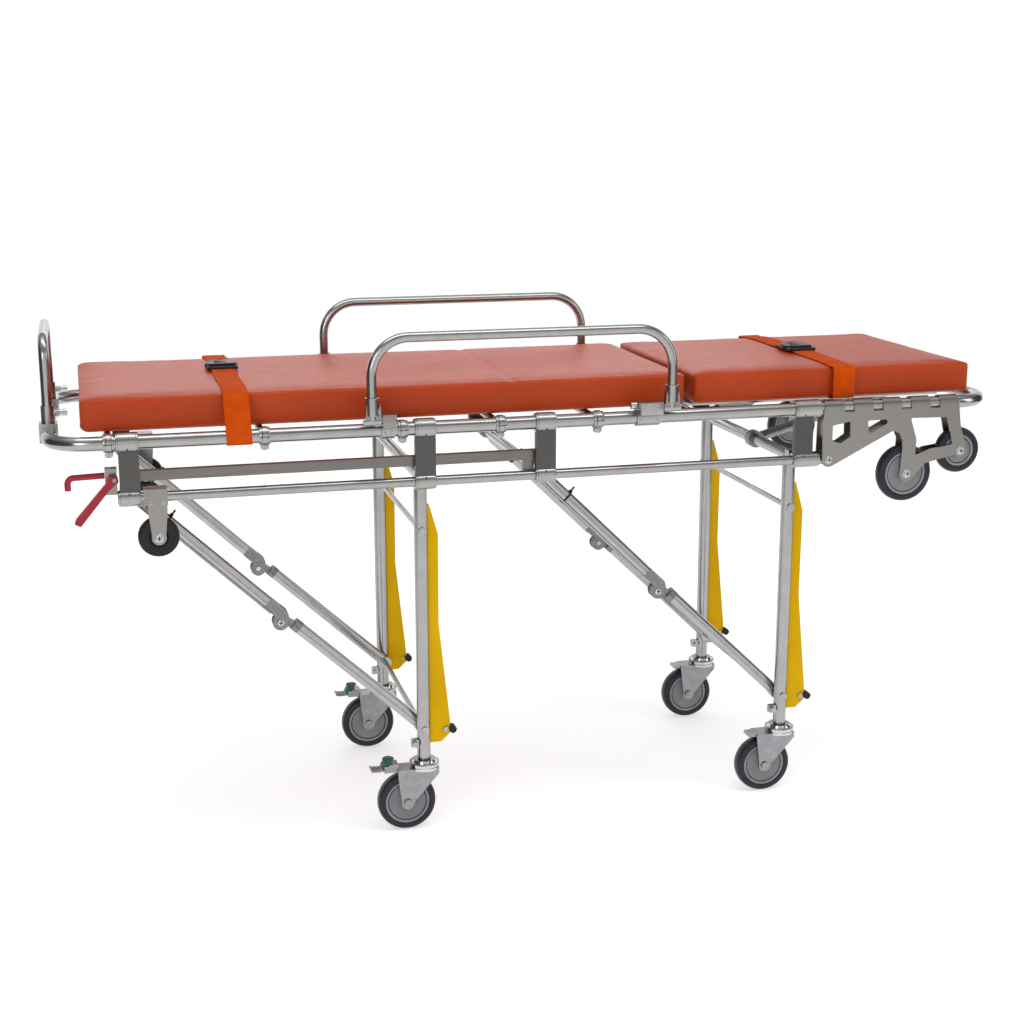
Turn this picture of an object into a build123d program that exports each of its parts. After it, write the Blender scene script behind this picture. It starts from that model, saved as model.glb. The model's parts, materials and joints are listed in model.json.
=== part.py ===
from build123d import *
import math
import os

# Stretcher trolley with two folding leg sets, in millimetres.
# +Z is up, +X points to the head end, -Y is the near side with the squeeze handle.
# The origin is on the floor under the middle of the bed frame.

os.makedirs("parts", exist_ok=True)

CENTER_MIN = (Align.CENTER, Align.CENTER, Align.MIN)
CUT = Mode.SUBTRACT
SIDES = {"near": -1, "far": 1}

# bed frame
FRAME_X, RAIL_Y, RAIL_Z = 993, 295, 876
RAIL_R, CORNER_R, WALL = 14, 80, 2
LOWER_Z, LOWER_R = 767, 10
LOWER_X = (-870, 606)
HANGERS = ((-869.5, -826.5), (-289.5, -246.5), (-39.5, 3.5), (528.5, 588))
UPPER_SLEEVE_R, LOWER_SLEEVE_R = 20, 16.5
FIT = 0.05
WEB_Y, WEB_HALF, WEB_REACH = 300, 6, 21
LEVER_CLEAR_X = -865.5
RING_X, RING_R, RING_W = (-882, -586, -313, -112, 94), 19, 21
CROSS_R, CROSS_END = 8, 275.9
HINGE_X = 310
DECK_Z, DECK_T, DECK_HALF = 884.1, 5.5, 215
BEARING_Y = (258.5, 278.4)
ANCHOR_X = (-848, -18)
ANCHOR_END = 278
PLATE_FILLET = 3
BACK_TUBE_Y = 150

# legs and braces
LEG_SETS = {"foot": -268, "head": 546}
LEG_Y, LEG_R, LEG_BOTTOM = 243, 14, 155
PIVOT_R, PIVOT_END = 12, 278
BRACE_Y, BRACE_W, BRACE_D = 214, 22, 25
BRACE_LENGTHS = {"foot": (413.3, 385.3), "head": (401, 386)}
BRACE_ANCHOR = {"foot": -848, "head": -18}
BRACE_LOW_Z = 219
KNEE_OFFSET = 14
KNUCKLE_R, TONGUE_R, CHEEK_T, CABLE_R = 17, 15, 4.5, 2.2

# castors and other wheels
CASTOR_D, CASTOR_W, CASTOR_TRAIL = 125, 32, 40
LOAD_WHEELS = {"large": (791, 726, 125), "small": (917, 770, 100)}
LOAD_W = 25
SUPPORT_X, SUPPORT_Z, SUPPORT_D, SUPPORT_W = -797, 688, 80, 28
AXLE_R = 6

# mattress
PAD_Y, PAD_Z, PAD_T = 265, 890, 67
PAD_X = (-935, 962)
NOTCH_DEG = 39.5

# side rails and push bar
SIDE_LEGS = (-377, 246)
SIDE_Y, SIDE_HINGE_Z, SIDE_TOP = 320, 898, 1062
SIDE_BEND = 75
TUBE_R = 10
BLOCKS = ((-357, -330), (176, 225))
BARRELS = ((-395, -360), (228, 264))
HINGE_PIN_R = 4
PUSH_Y, PUSH_TOP, PUSH_BEND = 150, 1060, 40
SOCKET_Z = (891, 930)

# gas strut, between the head pivot tube and the backrest
STRUT_Y = -50
STRUT_LOW, STRUT_HIGH = (546, 767), (910, 872)


def block(x, y, z, mode=Mode.ADD):
    """A box given by its (low, high) limits on each axis."""
    with Locations(((x[0] + x[1]) / 2, (y[0] + y[1]) / 2, (z[0] + z[1]) / 2)):
        Box(x[1] - x[0], y[1] - y[0], z[1] - z[0], mode=mode)


def bar_x(x, y, z, radius, mode=Mode.ADD):
    with Locations(Location((x[0], y, z), (0, 90, 0))):
        Cylinder(radius, x[1] - x[0], align=CENTER_MIN, mode=mode)


def bar_y(x, y, z, radius, mode=Mode.ADD):
    with Locations(Location((x, y[0], z), (-90, 0, 0))):
        Cylinder(radius, y[1] - y[0], align=CENTER_MIN, mode=mode)


def bar_z(x, y, z, radius, mode=Mode.ADD):
    with Locations((x, y, z[0])):
        Cylinder(radius, z[1] - z[0], align=CENTER_MIN, mode=mode)


def strut(start, end, radius, mode=Mode.ADD):
    """A round bar between any two points."""
    run = Vector(*end) - Vector(*start)
    with Locations(Plane(origin=start, z_dir=run)):
        Cylinder(radius, run.length, align=CENTER_MIN, mode=mode)


def bent_tube(points, bend, radius):
    """A round tube of the common wall, swept along rounded corners."""
    with BuildLine() as route:
        FilletPolyline(*points, radius=bend)
    with BuildSketch(Plane(origin=route.line @ 0, z_dir=route.line % 0)) as section:
        Circle(radius)
        Circle(radius - WALL, mode=CUT)
    sweep(sections=section.sketch, path=route.line)


def plate(outline, inner_y, thickness, lobes=(), windows=(), holes=()):
    """A flat plate on the near side, in the XZ plane, with round lobes, windows and holes."""
    with BuildSketch(Plane.XZ.offset(inner_y)) as face:
        Polygon(*outline, align=None)
        fillet(face.vertices(), radius=PLATE_FILLET)
        for window in windows:
            with BuildSketch(mode=Mode.PRIVATE) as gap:
                Polygon(*window, align=None)
                fillet(gap.vertices(), radius=PLATE_FILLET)
            add(gap.sketch, mode=CUT)
        for x, z, radius in lobes:
            with Locations((x, z)):
                Circle(radius)
        for x, z, radius in holes:
            with Locations((x, z)):
                Circle(radius, mode=CUT)
    extrude(face.sketch, amount=thickness)


def wheel(x, y, z, diameter, width, bore):
    """A wheel turned about Y, with a raised hub and a recessed web on both faces."""
    outer, half = diameter / 2, width / 2
    rim, hub, recess, round_off = outer * 0.74, outer * 0.3, 3, 5
    profile = [(bore, 0), (bore, half), (hub, half), (hub, half - recess), (rim, half - recess),
               (rim, half), (outer - round_off, half), (outer, half - round_off), (outer, 0)]
    with BuildPart() as tyre:
        with BuildSketch(Plane(origin=(x, y, z), x_dir=(1, 0, 0), z_dir=(0, 0, 1))):
            Polygon(*profile, align=None)
            mirror(about=Plane.XZ)
        revolve(axis=Axis((x, y, z), (0, 1, 0)))
    return tyre


# ---------------------------------------------------------------- bed frame

with BuildPart() as main_frame_tube:
    bent_tube([(-FRAME_X, 0, RAIL_Z), (-FRAME_X, -RAIL_Y, RAIL_Z), (FRAME_X, -RAIL_Y, RAIL_Z),
               (FRAME_X, 0, RAIL_Z)], CORNER_R, RAIL_R)
    mirror(about=Plane.XZ)
main_frame_tube.part.label = "main_frame_tube"
export_step(main_frame_tube.part, "parts/main_frame_tube.step")

with BuildPart() as lower_rails:
    bar_x(LOWER_X, -RAIL_Y, LOWER_Z, LOWER_R)
    bar_x((LOWER_X[0] + WALL, LOWER_X[1] - WALL), -RAIL_Y, LOWER_Z, LOWER_R - WALL, CUT)
    mirror(about=Plane.XZ)
lower_rails.part.label = "lower_rails"
export_step(lower_rails.part, "parts/lower_rails.step")

with BuildPart() as rail_sleeves:
    for span in HANGERS:
        bar_x(span, -RAIL_Y, RAIL_Z, UPPER_SLEEVE_R)
        bar_x(span, -RAIL_Y, LOWER_Z, LOWER_SLEEVE_R)
    for centre in RING_X:
        ring = (centre - RING_W / 2, centre + RING_W / 2)
        bar_x(ring, -RAIL_Y, RAIL_Z, RING_R)
        block((centre - 8, centre + 8), (-RAIL_Y - 6, -RAIL_Y + 6), (RAIL_Z - 26, RAIL_Z - 16))
    bar_x((-FRAME_X, FRAME_X), -RAIL_Y, RAIL_Z, RAIL_R + FIT, CUT)
    bar_x((-FRAME_X, FRAME_X), -RAIL_Y, LOWER_Z, LOWER_R + FIT, CUT)
    mirror(about=Plane.XZ)
rail_sleeves.part.label = "rail_sleeves"
export_step(rail_sleeves.part, "parts/rail_sleeves.step")

with BuildPart() as hanger_webs:
    for low, high in HANGERS:
        middle = low + 21.5
        near_end = max(middle - WEB_REACH, LEVER_CLEAR_X)
        block((near_end, middle + WEB_REACH), (-WEB_Y - WEB_HALF, -WEB_Y + WEB_HALF), (LOWER_Z, RAIL_Z))
    bar_x((-FRAME_X, FRAME_X), -RAIL_Y, RAIL_Z, UPPER_SLEEVE_R + FIT, CUT)
    bar_x((-FRAME_X, FRAME_X), -RAIL_Y, LOWER_Z, LOWER_SLEEVE_R + FIT, CUT)
    mirror(about=Plane.XZ)
hanger_webs.part.label = "hanger_webs"
export_step(hanger_webs.part, "parts/hanger_webs.step")

with BuildPart() as cross_members:
    for x in RING_X:
        bar_y(x, (-CROSS_END, CROSS_END), RAIL_Z, CROSS_R)
        bar_y(x, (-CROSS_END + WALL, CROSS_END - WALL), RAIL_Z, CROSS_R - WALL, CUT)
    bar_y(HINGE_X, (-RAIL_Y + RAIL_R + 0.1, RAIL_Y - RAIL_R - 0.1), RAIL_Z, CROSS_R)
    for x in ANCHOR_X:
        bar_y(x, (-ANCHOR_END, ANCHOR_END), LOWER_Z, LOWER_R)
cross_members.part.label = "cross_members"
export_step(cross_members.part, "parts/cross_members.step")

with BuildPart() as shaft_bearings:
    bearings = [(x, LOWER_R) for x in ANCHOR_X] + [(x, PIVOT_R) for x in LEG_SETS.values()]
    for x, radius in bearings:
        near_y = (-BEARING_Y[1], -BEARING_Y[0])
        bar_y(x, near_y, LOWER_Z, 17)
        block((x - 17, x + 17), near_y, (LOWER_Z - 3, LOWER_Z + 17))
        bar_y(x, near_y, LOWER_Z, radius + FIT, CUT)
    mirror(about=Plane.XZ)
shaft_bearings.part.label = "shaft_bearings"
export_step(shaft_bearings.part, "parts/shaft_bearings.step")

with BuildPart() as bed_deck:
    block((-905, 294), (-DECK_HALF, DECK_HALF), (DECK_Z, DECK_Z + DECK_T))
    fillet(bed_deck.edges().filter_by(Axis.Z), radius=40)
bed_deck.part.label = "bed_deck"
export_step(bed_deck.part, "parts/bed_deck.step")

# ---------------------------------------------------------------- loading wheel brackets

LOAD_OUTLINE = [(592, 876), (908, 876), (915, 827), (932, 772), (903, 762), (834, 747), (806, 716),
                (775, 724), (779, 801), (772, 815), (754, 822), (613, 752), (591, 766)]
LOAD_LOBES = [(917, 770, 16), (791, 726, 17), (606, 766, 15)]
LOAD_WINDOWS = [[(613, 840), (654, 848), (655, 815), (633, 801), (613, 807)],
                [(694, 847), (738, 848), (741, 840), (698, 818)],
                [(795, 848), (883, 846), (897, 785), (844, 778), (809, 766), (811, 800)]]
LOAD_HOLES = [(917, 770, AXLE_R + FIT), (791, 726, AXLE_R + FIT), (606, 766, 3)]
TABS, TAB_START, TAB_PITCH, TAB_W = 5, 595, 67, 44
LOAD_PLATE_T = 3
LOAD_OUTER_Y = RAIL_Y + RAIL_R + FIT
LOAD_INNER_Y = RAIL_Y - RAIL_R - FIT - LOAD_PLATE_T

with BuildPart() as loading_outer_plates:
    plate(LOAD_OUTLINE, LOAD_OUTER_Y, LOAD_PLATE_T, LOAD_LOBES, LOAD_WINDOWS, LOAD_HOLES)
    for tab in range(TABS):
        span = (TAB_START + TAB_PITCH * tab, TAB_START + TAB_PITCH * tab + TAB_W)
        with BuildSketch(Plane.YZ.offset(span[0])) as band:
            with Locations((-RAIL_Y, RAIL_Z)):
                Circle(RAIL_R + FIT + LOAD_PLATE_T)
                Circle(RAIL_R + FIT, mode=CUT)
            with Locations((-RAIL_Y, RAIL_Z - 25)):
                Rectangle(50, 50, mode=CUT)
        extrude(band.sketch, amount=TAB_W)
    for gap in range(TABS - 1):
        start = TAB_START + TAB_W + TAB_PITCH * gap
        block((start, start + TAB_PITCH - TAB_W), (-LOAD_OUTER_Y - 5, -LOAD_OUTER_Y), (868, 877), CUT)
    mirror(about=Plane.XZ)
loading_outer_plates.part.label = "loading_outer_plates"
export_step(loading_outer_plates.part, "parts/loading_outer_plates.step")

with BuildPart() as loading_inner_plates:
    plate(LOAD_OUTLINE, LOAD_INNER_Y, LOAD_PLATE_T, LOAD_LOBES, LOAD_WINDOWS, LOAD_HOLES)
    mirror(about=Plane.XZ)
loading_inner_plates.part.label = "loading_inner_plates"
export_step(loading_inner_plates.part, "parts/loading_inner_plates.step")

# ---------------------------------------------------------------- support wheel forks

FORK_OUTER_Y, FORK_T = 310.5, 3
FORK_INNER_Y = 2 * RAIL_Y - FORK_OUTER_Y - FORK_T

with BuildPart() as support_wheel_forks:
    fork_outline = [(SUPPORT_X - 18.5, 785), (SUPPORT_X + 18.5, 785), (SUPPORT_X + 18.5, 742),
                    (SUPPORT_X + 13, SUPPORT_Z), (SUPPORT_X - 13, SUPPORT_Z), (SUPPORT_X - 18.5, 742)]
    for inner in (FORK_OUTER_Y, FORK_INNER_Y):
        plate(fork_outline, inner, FORK_T, [(SUPPORT_X, SUPPORT_Z, 14)], (),
              [(SUPPORT_X, SUPPORT_Z, AXLE_R + FIT)])
    block((SUPPORT_X - 25, SUPPORT_X + 20), (-FORK_OUTER_Y, -FORK_INNER_Y - FORK_T), (752, 785))
    bar_x((SUPPORT_X - 30, SUPPORT_X + 30), -RAIL_Y, LOWER_Z, LOWER_R + FIT, CUT)
    mirror(about=Plane.XZ)
support_wheel_forks.part.label = "support_wheel_forks"
export_step(support_wheel_forks.part, "parts/support_wheel_forks.step")

# ---------------------------------------------------------------- push bar

PIN_R, KNOB_R = 3, 7
PUSH_PIN_Z = 915

with BuildPart() as push_bar_sockets:
    for side in SIDES.values():
        y = side * PUSH_Y
        bar_z(-FRAME_X, y, SOCKET_Z, 13)
        block((-FRAME_X - 18, -FRAME_X + 18), (y - 19, y + 19), (RAIL_Z - 18, SOCKET_Z[0] + 5))
        bar_x((-FRAME_X, -FRAME_X + 25), y, PUSH_PIN_Z, 6)
        bar_z(-FRAME_X, y, (SOCKET_Z[0], SOCKET_Z[1] + 1), TUBE_R + FIT, CUT)
        bar_x((-FRAME_X, -FRAME_X + 26), y, PUSH_PIN_Z, PIN_R + FIT, CUT)
    bar_y(-FRAME_X, (-200, 200), RAIL_Z, RAIL_R + FIT, CUT)
push_bar_sockets.part.label = "push_bar_sockets"
export_step(push_bar_sockets.part, "parts/push_bar_sockets.step")

with BuildPart() as push_bar:
    bent_tube([(-FRAME_X, -PUSH_Y, SOCKET_Z[0] + 1), (-FRAME_X, -PUSH_Y, PUSH_TOP),
               (-FRAME_X, PUSH_Y, PUSH_TOP), (-FRAME_X, PUSH_Y, SOCKET_Z[0] + 1)], PUSH_BEND, TUBE_R)
push_bar.part.label = "push_bar"
export_step(push_bar.part, "parts/push_bar.step")

for name, side in SIDES.items():
    with BuildPart() as push_pin:
        bar_x((-FRAME_X + TUBE_R + 2 * FIT, -FRAME_X + 28), side * PUSH_Y, PUSH_PIN_Z, PIN_R)
        bar_x((-FRAME_X + 26, -FRAME_X + 38), side * PUSH_Y, PUSH_PIN_Z, KNOB_R)
    push_pin.part.label = f"push_bar_pin_{name}"
    export_step(push_pin.part, f"parts/push_bar_pin_{name}.step")

# ---------------------------------------------------------------- side rails

with BuildPart() as side_rail_hinges:
    for span, barrel in zip(BLOCKS, BARRELS):
        block(span, (-SIDE_Y - 10, -RAIL_Y), (885, 911))
        bar_x(span, -RAIL_Y, RAIL_Z, 18)
        bar_x(span, -RAIL_Y, RAIL_Z, RAIL_R + FIT, CUT)
        bar_x((min(span[0], barrel[0]), max(span[1], barrel[1])), -SIDE_Y, SIDE_HINGE_Z, HINGE_PIN_R)
    bar_x((BLOCKS[1][0] - 1, BLOCKS[1][1] + 1), -SIDE_Y + 14, SIDE_HINGE_Z + 5, PIN_R + FIT, CUT)
    mirror(about=Plane.XZ)
side_rail_hinges.part.label = "side_rail_hinges"
export_step(side_rail_hinges.part, "parts/side_rail_hinges.step")

for name, side in SIDES.items():
    y = side * SIDE_Y
    with BuildPart() as side_rail:
        bent_tube([(SIDE_LEGS[0], y, 912), (SIDE_LEGS[0], y, SIDE_TOP), (SIDE_LEGS[1], y, SIDE_TOP),
                   (SIDE_LEGS[1], y, 912)], SIDE_BEND, TUBE_R)
        for leg, barrel in zip(SIDE_LEGS, BARRELS):
            bar_z(leg, y, (910, 945), 13)
            bar_z(leg, y, (SIDE_HINGE_Z, 912), 9)
            bar_x(barrel, y, SIDE_HINGE_Z, 8)
            bar_x(barrel, y, SIDE_HINGE_Z, HINGE_PIN_R + FIT, CUT)
    side_rail.part.label = f"side_rail_{name}"
    export_step(side_rail.part, f"parts/side_rail_{name}.step")

    with BuildPart() as rail_pin:
        pin_y = side * (SIDE_Y - 14)
        bar_x((BLOCKS[1][0] - 4, BLOCKS[1][1] + 1), pin_y, SIDE_HINGE_Z + 5, PIN_R)
        bar_x((BLOCKS[1][0] - 14, BLOCKS[1][0] - 2), pin_y, SIDE_HINGE_Z + 5, KNOB_R)
    rail_pin.part.label = f"side_rail_pin_{name}"
    export_step(rail_pin.part, f"parts/side_rail_pin_{name}.step")

# ---------------------------------------------------------------- release handle

LEVER_PIVOT = (-875, 805)
GRIP_R = 6

with BuildPart() as handle_bracket:
    block((-892, -869.6), (-286, -283), (773, 828))
    block((-892, HANGERS[0][0]), (-304, -286), (822, 828))
    bar_y(LEVER_PIVOT[0], (-305, -283), LEVER_PIVOT[1], HINGE_PIN_R)
handle_bracket.part.label = "handle_bracket"
export_step(handle_bracket.part, "parts/handle_bracket.step")

with BuildPart() as grip_bar:
    with BuildLine() as grip_route:
        FilletPolyline((-892.4, -286, 812), (-962, -286, 810), (-962, -286, 786), radius=12)
    with BuildSketch(Plane(origin=grip_route.line @ 0, z_dir=grip_route.line % 0)) as grip_section:
        Circle(GRIP_R)
    sweep(sections=grip_section.sketch, path=grip_route.line)
grip_bar.part.label = "grip_bar"
export_step(grip_bar.part, "parts/grip_bar.step")

with BuildPart() as release_lever:
    lever_outline = [(-884, 812), (-869, 812), (-867, 800), (-886, 784), (-942, 716), (-954, 722),
                     (-950, 732), (-890, 800)]
    plate(lever_outline, 288, 14, (), (), [(*LEVER_PIVOT, HINGE_PIN_R + FIT)])
    fillet(release_lever.edges().filter_by(Plane.XZ).filter_by(GeomType.LINE), radius=2)
release_lever.part.label = "release_lever"
export_step(release_lever.part, "parts/release_lever.step")

with BuildPart() as pull_bar:
    block((-842, -35), (-291, -274), (798, 818))
    block((-62, -40), (-289, -276), (776, 800))
pull_bar.part.label = "pull_bar"
export_step(pull_bar.part, "parts/pull_bar.step")

# ---------------------------------------------------------------- mattress, backrest and straps

notch_low = (PAD_Z - RAIL_Z) * math.tan(math.radians(NOTCH_DEG))
notch_high = (PAD_Z + PAD_T - RAIL_Z) * math.tan(math.radians(NOTCH_DEG))


def cushion(end_x, side):
    """A pad from end_x to the backrest hinge, cut back on a slant so that it clears the hinge."""
    with BuildPart() as pad:
        with BuildSketch(Plane.XZ.offset(-PAD_Y)):
            Polygon((end_x, PAD_Z), (HINGE_X + side * notch_low, PAD_Z),
                    (HINGE_X + side * notch_high, PAD_Z + PAD_T), (end_x, PAD_Z + PAD_T), align=None)
        extrude(amount=2 * PAD_Y)
        fillet(pad.edges().filter_by(Axis.Z), radius=45)
    return pad


foot_cushion = cushion(PAD_X[0], -1)
foot_cushion.part.label = "foot_cushion"
export_step(foot_cushion.part, "parts/foot_cushion.step")

head_cushion = cushion(PAD_X[1], 1)
head_cushion.part.label = "head_cushion"
export_step(head_cushion.part, "parts/head_cushion.step")

STRAP_W, STRAP_T = 50, 2.5
STRAPS = {"foot_strap": (-635, 60), "head_strap": (655, -10)}
for name, (x, buckle_y) in STRAPS.items():
    with BuildPart() as strap:
        top = PAD_Z + PAD_T + 0.4
        span = (x - STRAP_W / 2, x + STRAP_W / 2)
        block(span, (-PAD_Y - 3, PAD_Y + 3), (894, top + STRAP_T))
        block((span[0] - 1, span[1] + 1), (-PAD_Y - 0.5, PAD_Y + 0.5), (890, top), CUT)
        block((x - 30, x + 30), (buckle_y - 38, buckle_y + 38), (top, top + 13))
    strap.part.label = name
    export_step(strap.part, f"parts/{name}.step")

with BuildPart() as backrest_frame:
    block((327, 940), (-DECK_HALF, DECK_HALF), (DECK_Z, DECK_Z + DECK_T))
    for side in SIDES.values():
        y = side * BACK_TUBE_Y
        bar_x((HINGE_X + 9, 940), y, RAIL_Z, CROSS_R)
        bar_y(HINGE_X, (y - 16, y + 16), RAIL_Z, 12)
        bar_y(HINGE_X, (y - 17, y + 17), RAIL_Z, CROSS_R + FIT, CUT)
        block((895, 925), (STRUT_Y + side * 12 - 2, STRUT_Y + side * 12 + 2), (862, DECK_Z))
    for x in (700, 936):
        bar_y(x, (-BACK_TUBE_Y + CROSS_R + 0.1, BACK_TUBE_Y - CROSS_R - 0.1), RAIL_Z, CROSS_R - 1)
backrest_frame.part.label = "backrest_frame"
export_step(backrest_frame.part, "parts/backrest_frame.step")

# ---------------------------------------------------------------- gas strut

strut_run = Vector(STRUT_HIGH[0] - STRUT_LOW[0], 0, STRUT_HIGH[1] - STRUT_LOW[1])
strut_dir = strut_run.normalized()
strut_start = Vector(STRUT_LOW[0], STRUT_Y, STRUT_LOW[1])

with BuildPart() as strut_cylinder:
    bar_y(STRUT_LOW[0], (STRUT_Y - 12, STRUT_Y + 12), STRUT_LOW[1], 19)
    strut(strut_start, strut_start + strut_dir * 345, 11)
    strut(strut_start + strut_dir * 30, strut_start + strut_dir * 346, 4 + FIT, CUT)
    bar_y(STRUT_LOW[0], (STRUT_Y - 13, STRUT_Y + 13), STRUT_LOW[1], PIVOT_R + FIT, CUT)
strut_cylinder.part.label = "strut_cylinder"
export_step(strut_cylinder.part, "parts/strut_cylinder.step")

with BuildPart() as strut_rod:
    strut(strut_start + strut_dir * 32, strut_start + strut_dir * (strut_run.length - 5), 4)
    bar_y(STRUT_HIGH[0], (STRUT_Y - 7, STRUT_Y + 7), STRUT_HIGH[1], 9)
strut_rod.part.label = "strut_rod"
export_step(strut_rod.part, "parts/strut_rod.step")

# ---------------------------------------------------------------- legs, guards and braces

GUARD_Y, GUARD_T = 241.5, 3
GUARD_DX = [(6, 708), (17, 708), (22, 692), (36, 642), (35, 450), (57, 232), (57, 205), (38, 187),
            (6, 187)]
BUMPER = (56, 214)


def knee_point(set_name):
    """Where the two brace links meet at rest, on the lower side of the line between their ends."""
    upper, lower = BRACE_LENGTHS[set_name]
    start = Vector(BRACE_ANCHOR[set_name], 0, LOWER_Z)
    end = Vector(LEG_SETS[set_name], 0, BRACE_LOW_Z)
    span = (end - start).length
    along = (upper ** 2 - lower ** 2 + span ** 2) / (2 * span)
    aside = math.sqrt(upper ** 2 - along ** 2)
    line = (end - start).normalized()
    return start + line * along + Vector(line.Z, 0, -line.X) * aside


def along_knee(knee, line, up, points):
    """Draws an outline given as distances along a brace and square to it, from its knee pin."""
    corners = [knee + line * ahead + up * across for ahead, across in points]
    Polygon(*[(corner.X, corner.Z) for corner in corners], align=None)


def brace_tube(start, end):
    """The rectangular tube of a brace link, on the near side."""
    run = end - start
    with BuildSketch(Plane(origin=start, x_dir=(0, 1, 0), z_dir=run)) as section:
        RectangleRounded(BRACE_W, BRACE_D, 4)
        RectangleRounded(BRACE_W - 2 * WALL, BRACE_D - 2 * WALL, 2, mode=CUT)
    extrude(section.sketch, amount=run.length)


for set_name, leg_x in LEG_SETS.items():
    with BuildPart() as leg_frame:
        bar_z(leg_x, -LEG_Y, (LEG_BOTTOM, LOWER_Z), LEG_R)
        block((leg_x - 27, leg_x - 8), (-LEG_Y - 7, -LEG_Y + 7), (181, 197))
        mirror(about=Plane.XZ)
        bar_y(leg_x, (-PIVOT_END, PIVOT_END), LOWER_Z, PIVOT_R)
        bar_y(leg_x, (-LEG_Y, LEG_Y), 653, 6)
        for side in SIDES.values():
            bar_z(leg_x, side * LEG_Y, (LEG_BOTTOM - 1, LOWER_Z - 20), LEG_R - WALL, CUT)
            block((leg_x - 28, leg_x - 5), (side * LEG_Y - 1, side * LEG_Y + 1), (154, 205), CUT)
            bar_y(leg_x - 20, (side * LEG_Y - 8, side * LEG_Y + 8), 189, PIN_R + FIT, CUT)
    leg_frame.part.label = f"{set_name}_leg_frame"
    export_step(leg_frame.part, f"parts/{set_name}_leg_frame.step")

    with BuildPart() as leg_guards:
        plate([(leg_x + dx, z) for dx, z in GUARD_DX], GUARD_Y, GUARD_T)
        bar_z(leg_x, -LEG_Y, (180, 730), LEG_R + FIT, CUT)
        bar_y(leg_x + BUMPER[0] - 8, (-GUARD_Y - 10, -GUARD_Y + 10), BUMPER[1], PIN_R + FIT, CUT)
        mirror(about=Plane.XZ)
    leg_guards.part.label = f"{set_name}_leg_guards"
    export_step(leg_guards.part, f"parts/{set_name}_leg_guards.step")

    with BuildPart() as leg_fasteners:
        bar_y(leg_x - 20, (-LEG_Y - 12, -LEG_Y + 12), 189, PIN_R)
        bar_y(leg_x - 20, (-LEG_Y - 15, -LEG_Y - 7), 189, 6)
        bar_y(leg_x, (-LEG_Y - LEG_R - 6, -LEG_Y - LEG_R), 653, 9)
        bar_y(leg_x, (-LEG_Y - LEG_R - 4, -LEG_Y - LEG_R), BRACE_LOW_Z, 9)
        bar_y(leg_x + BUMPER[0] - 8, (-GUARD_Y - 7, -GUARD_Y + 3), BUMPER[1], PIN_R)
        bar_y(leg_x + BUMPER[0] - 8, (-GUARD_Y - 7, -GUARD_Y - GUARD_T), BUMPER[1], 6)
        mirror(about=Plane.XZ)
    leg_fasteners.part.label = f"{set_name}_leg_fasteners"
    export_step(leg_fasteners.part, f"parts/{set_name}_leg_fasteners.step")

    with BuildPart() as leg_bumpers:
        bar_y(leg_x + BUMPER[0] + 6, (-GUARD_Y - 11, -GUARD_Y + 8), BUMPER[1], 8)
        block((leg_x + 40, leg_x + 60), (-GUARD_Y - GUARD_T, -GUARD_Y), (180, 240), CUT)
        mirror(about=Plane.XZ)
    leg_bumpers.part.label = f"{set_name}_leg_bumpers"
    export_step(leg_bumpers.part, f"parts/{set_name}_leg_bumpers.step")

    knee = knee_point(set_name)
    anchor = Vector(BRACE_ANCHOR[set_name], -BRACE_Y, LOWER_Z)
    foot_end = Vector(leg_x, -BRACE_Y, BRACE_LOW_Z)
    line = (foot_end - anchor).normalized()
    up = Vector(-line.Z, 0, line.X)
    knee_axis = Vector(knee.X, -BRACE_Y, knee.Z)
    knee_top = knee_axis + up * KNEE_OFFSET
    tube_y = (-BRACE_Y - BRACE_W / 2, -BRACE_Y + BRACE_W / 2)

    with BuildPart() as upper_brace:
        brace_tube(anchor, knee_top - line * 22)
        bar_y(anchor.X, tube_y, anchor.Z, 17)
        for cheek_y in (tube_y[0], tube_y[1] - CHEEK_T):
            with BuildSketch(Plane.XZ.offset(-cheek_y - CHEEK_T)) as cheek:
                with Locations((knee.X, knee.Z)):
                    Circle(KNUCKLE_R)
                along_knee(knee_axis, line, up, [(-48, 26), (-4, 26), (14, 14), (0, 0), (-19.5, 2), (-48, 2)])
            extrude(cheek.sketch, amount=CHEEK_T)
        bar_y(knee.X, (tube_y[0] - 3, tube_y[1] + 3), knee.Z, 5)
        bar_y(anchor.X, (tube_y[0] - 1, tube_y[1] + 1), anchor.Z, LOWER_R + FIT, CUT)
        cable_side = Vector(0, -BRACE_W / 2 - 0.8, 0) - up * 12.2
        strut(anchor + cable_side + line * 30, knee_top + cable_side - line * 30, CABLE_R)
        mirror(about=Plane.XZ)
    upper_brace.part.label = f"{set_name}_brace_upper"
    export_step(upper_brace.part, f"parts/{set_name}_brace_upper.step")

    with BuildPart() as lower_brace:
        brace_tube(knee_top + line * 24, foot_end)
        bar_y(foot_end.X, tube_y, foot_end.Z, 15)
        tongue_y = -BRACE_Y - 6
        with BuildSketch(Plane.XZ.offset(-tongue_y - 12)) as tongue:
            with Locations((knee.X, knee.Z)):
                Circle(TONGUE_R)
            along_knee(knee_axis, line, up, [(-2, 15), (40, 22), (40, 3), (19.5, 3), (2, -15)])
        extrude(tongue.sketch, amount=12)
        bar_y(knee.X, (tongue_y - 1, tongue_y + 13), knee.Z, 5 + FIT, CUT)
        mirror(about=Plane.XZ)
        bar_y(foot_end.X, (-226, 226), foot_end.Z, AXLE_R)
    lower_brace.part.label = f"{set_name}_brace_lower"
    export_step(lower_brace.part, f"parts/{set_name}_brace_lower.step")

# ---------------------------------------------------------------- castors

FORK_IN, FORK_SIDE_T, RACE_R = 18, 4, 31.5
CROWN_Z = (131, 137)

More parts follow.
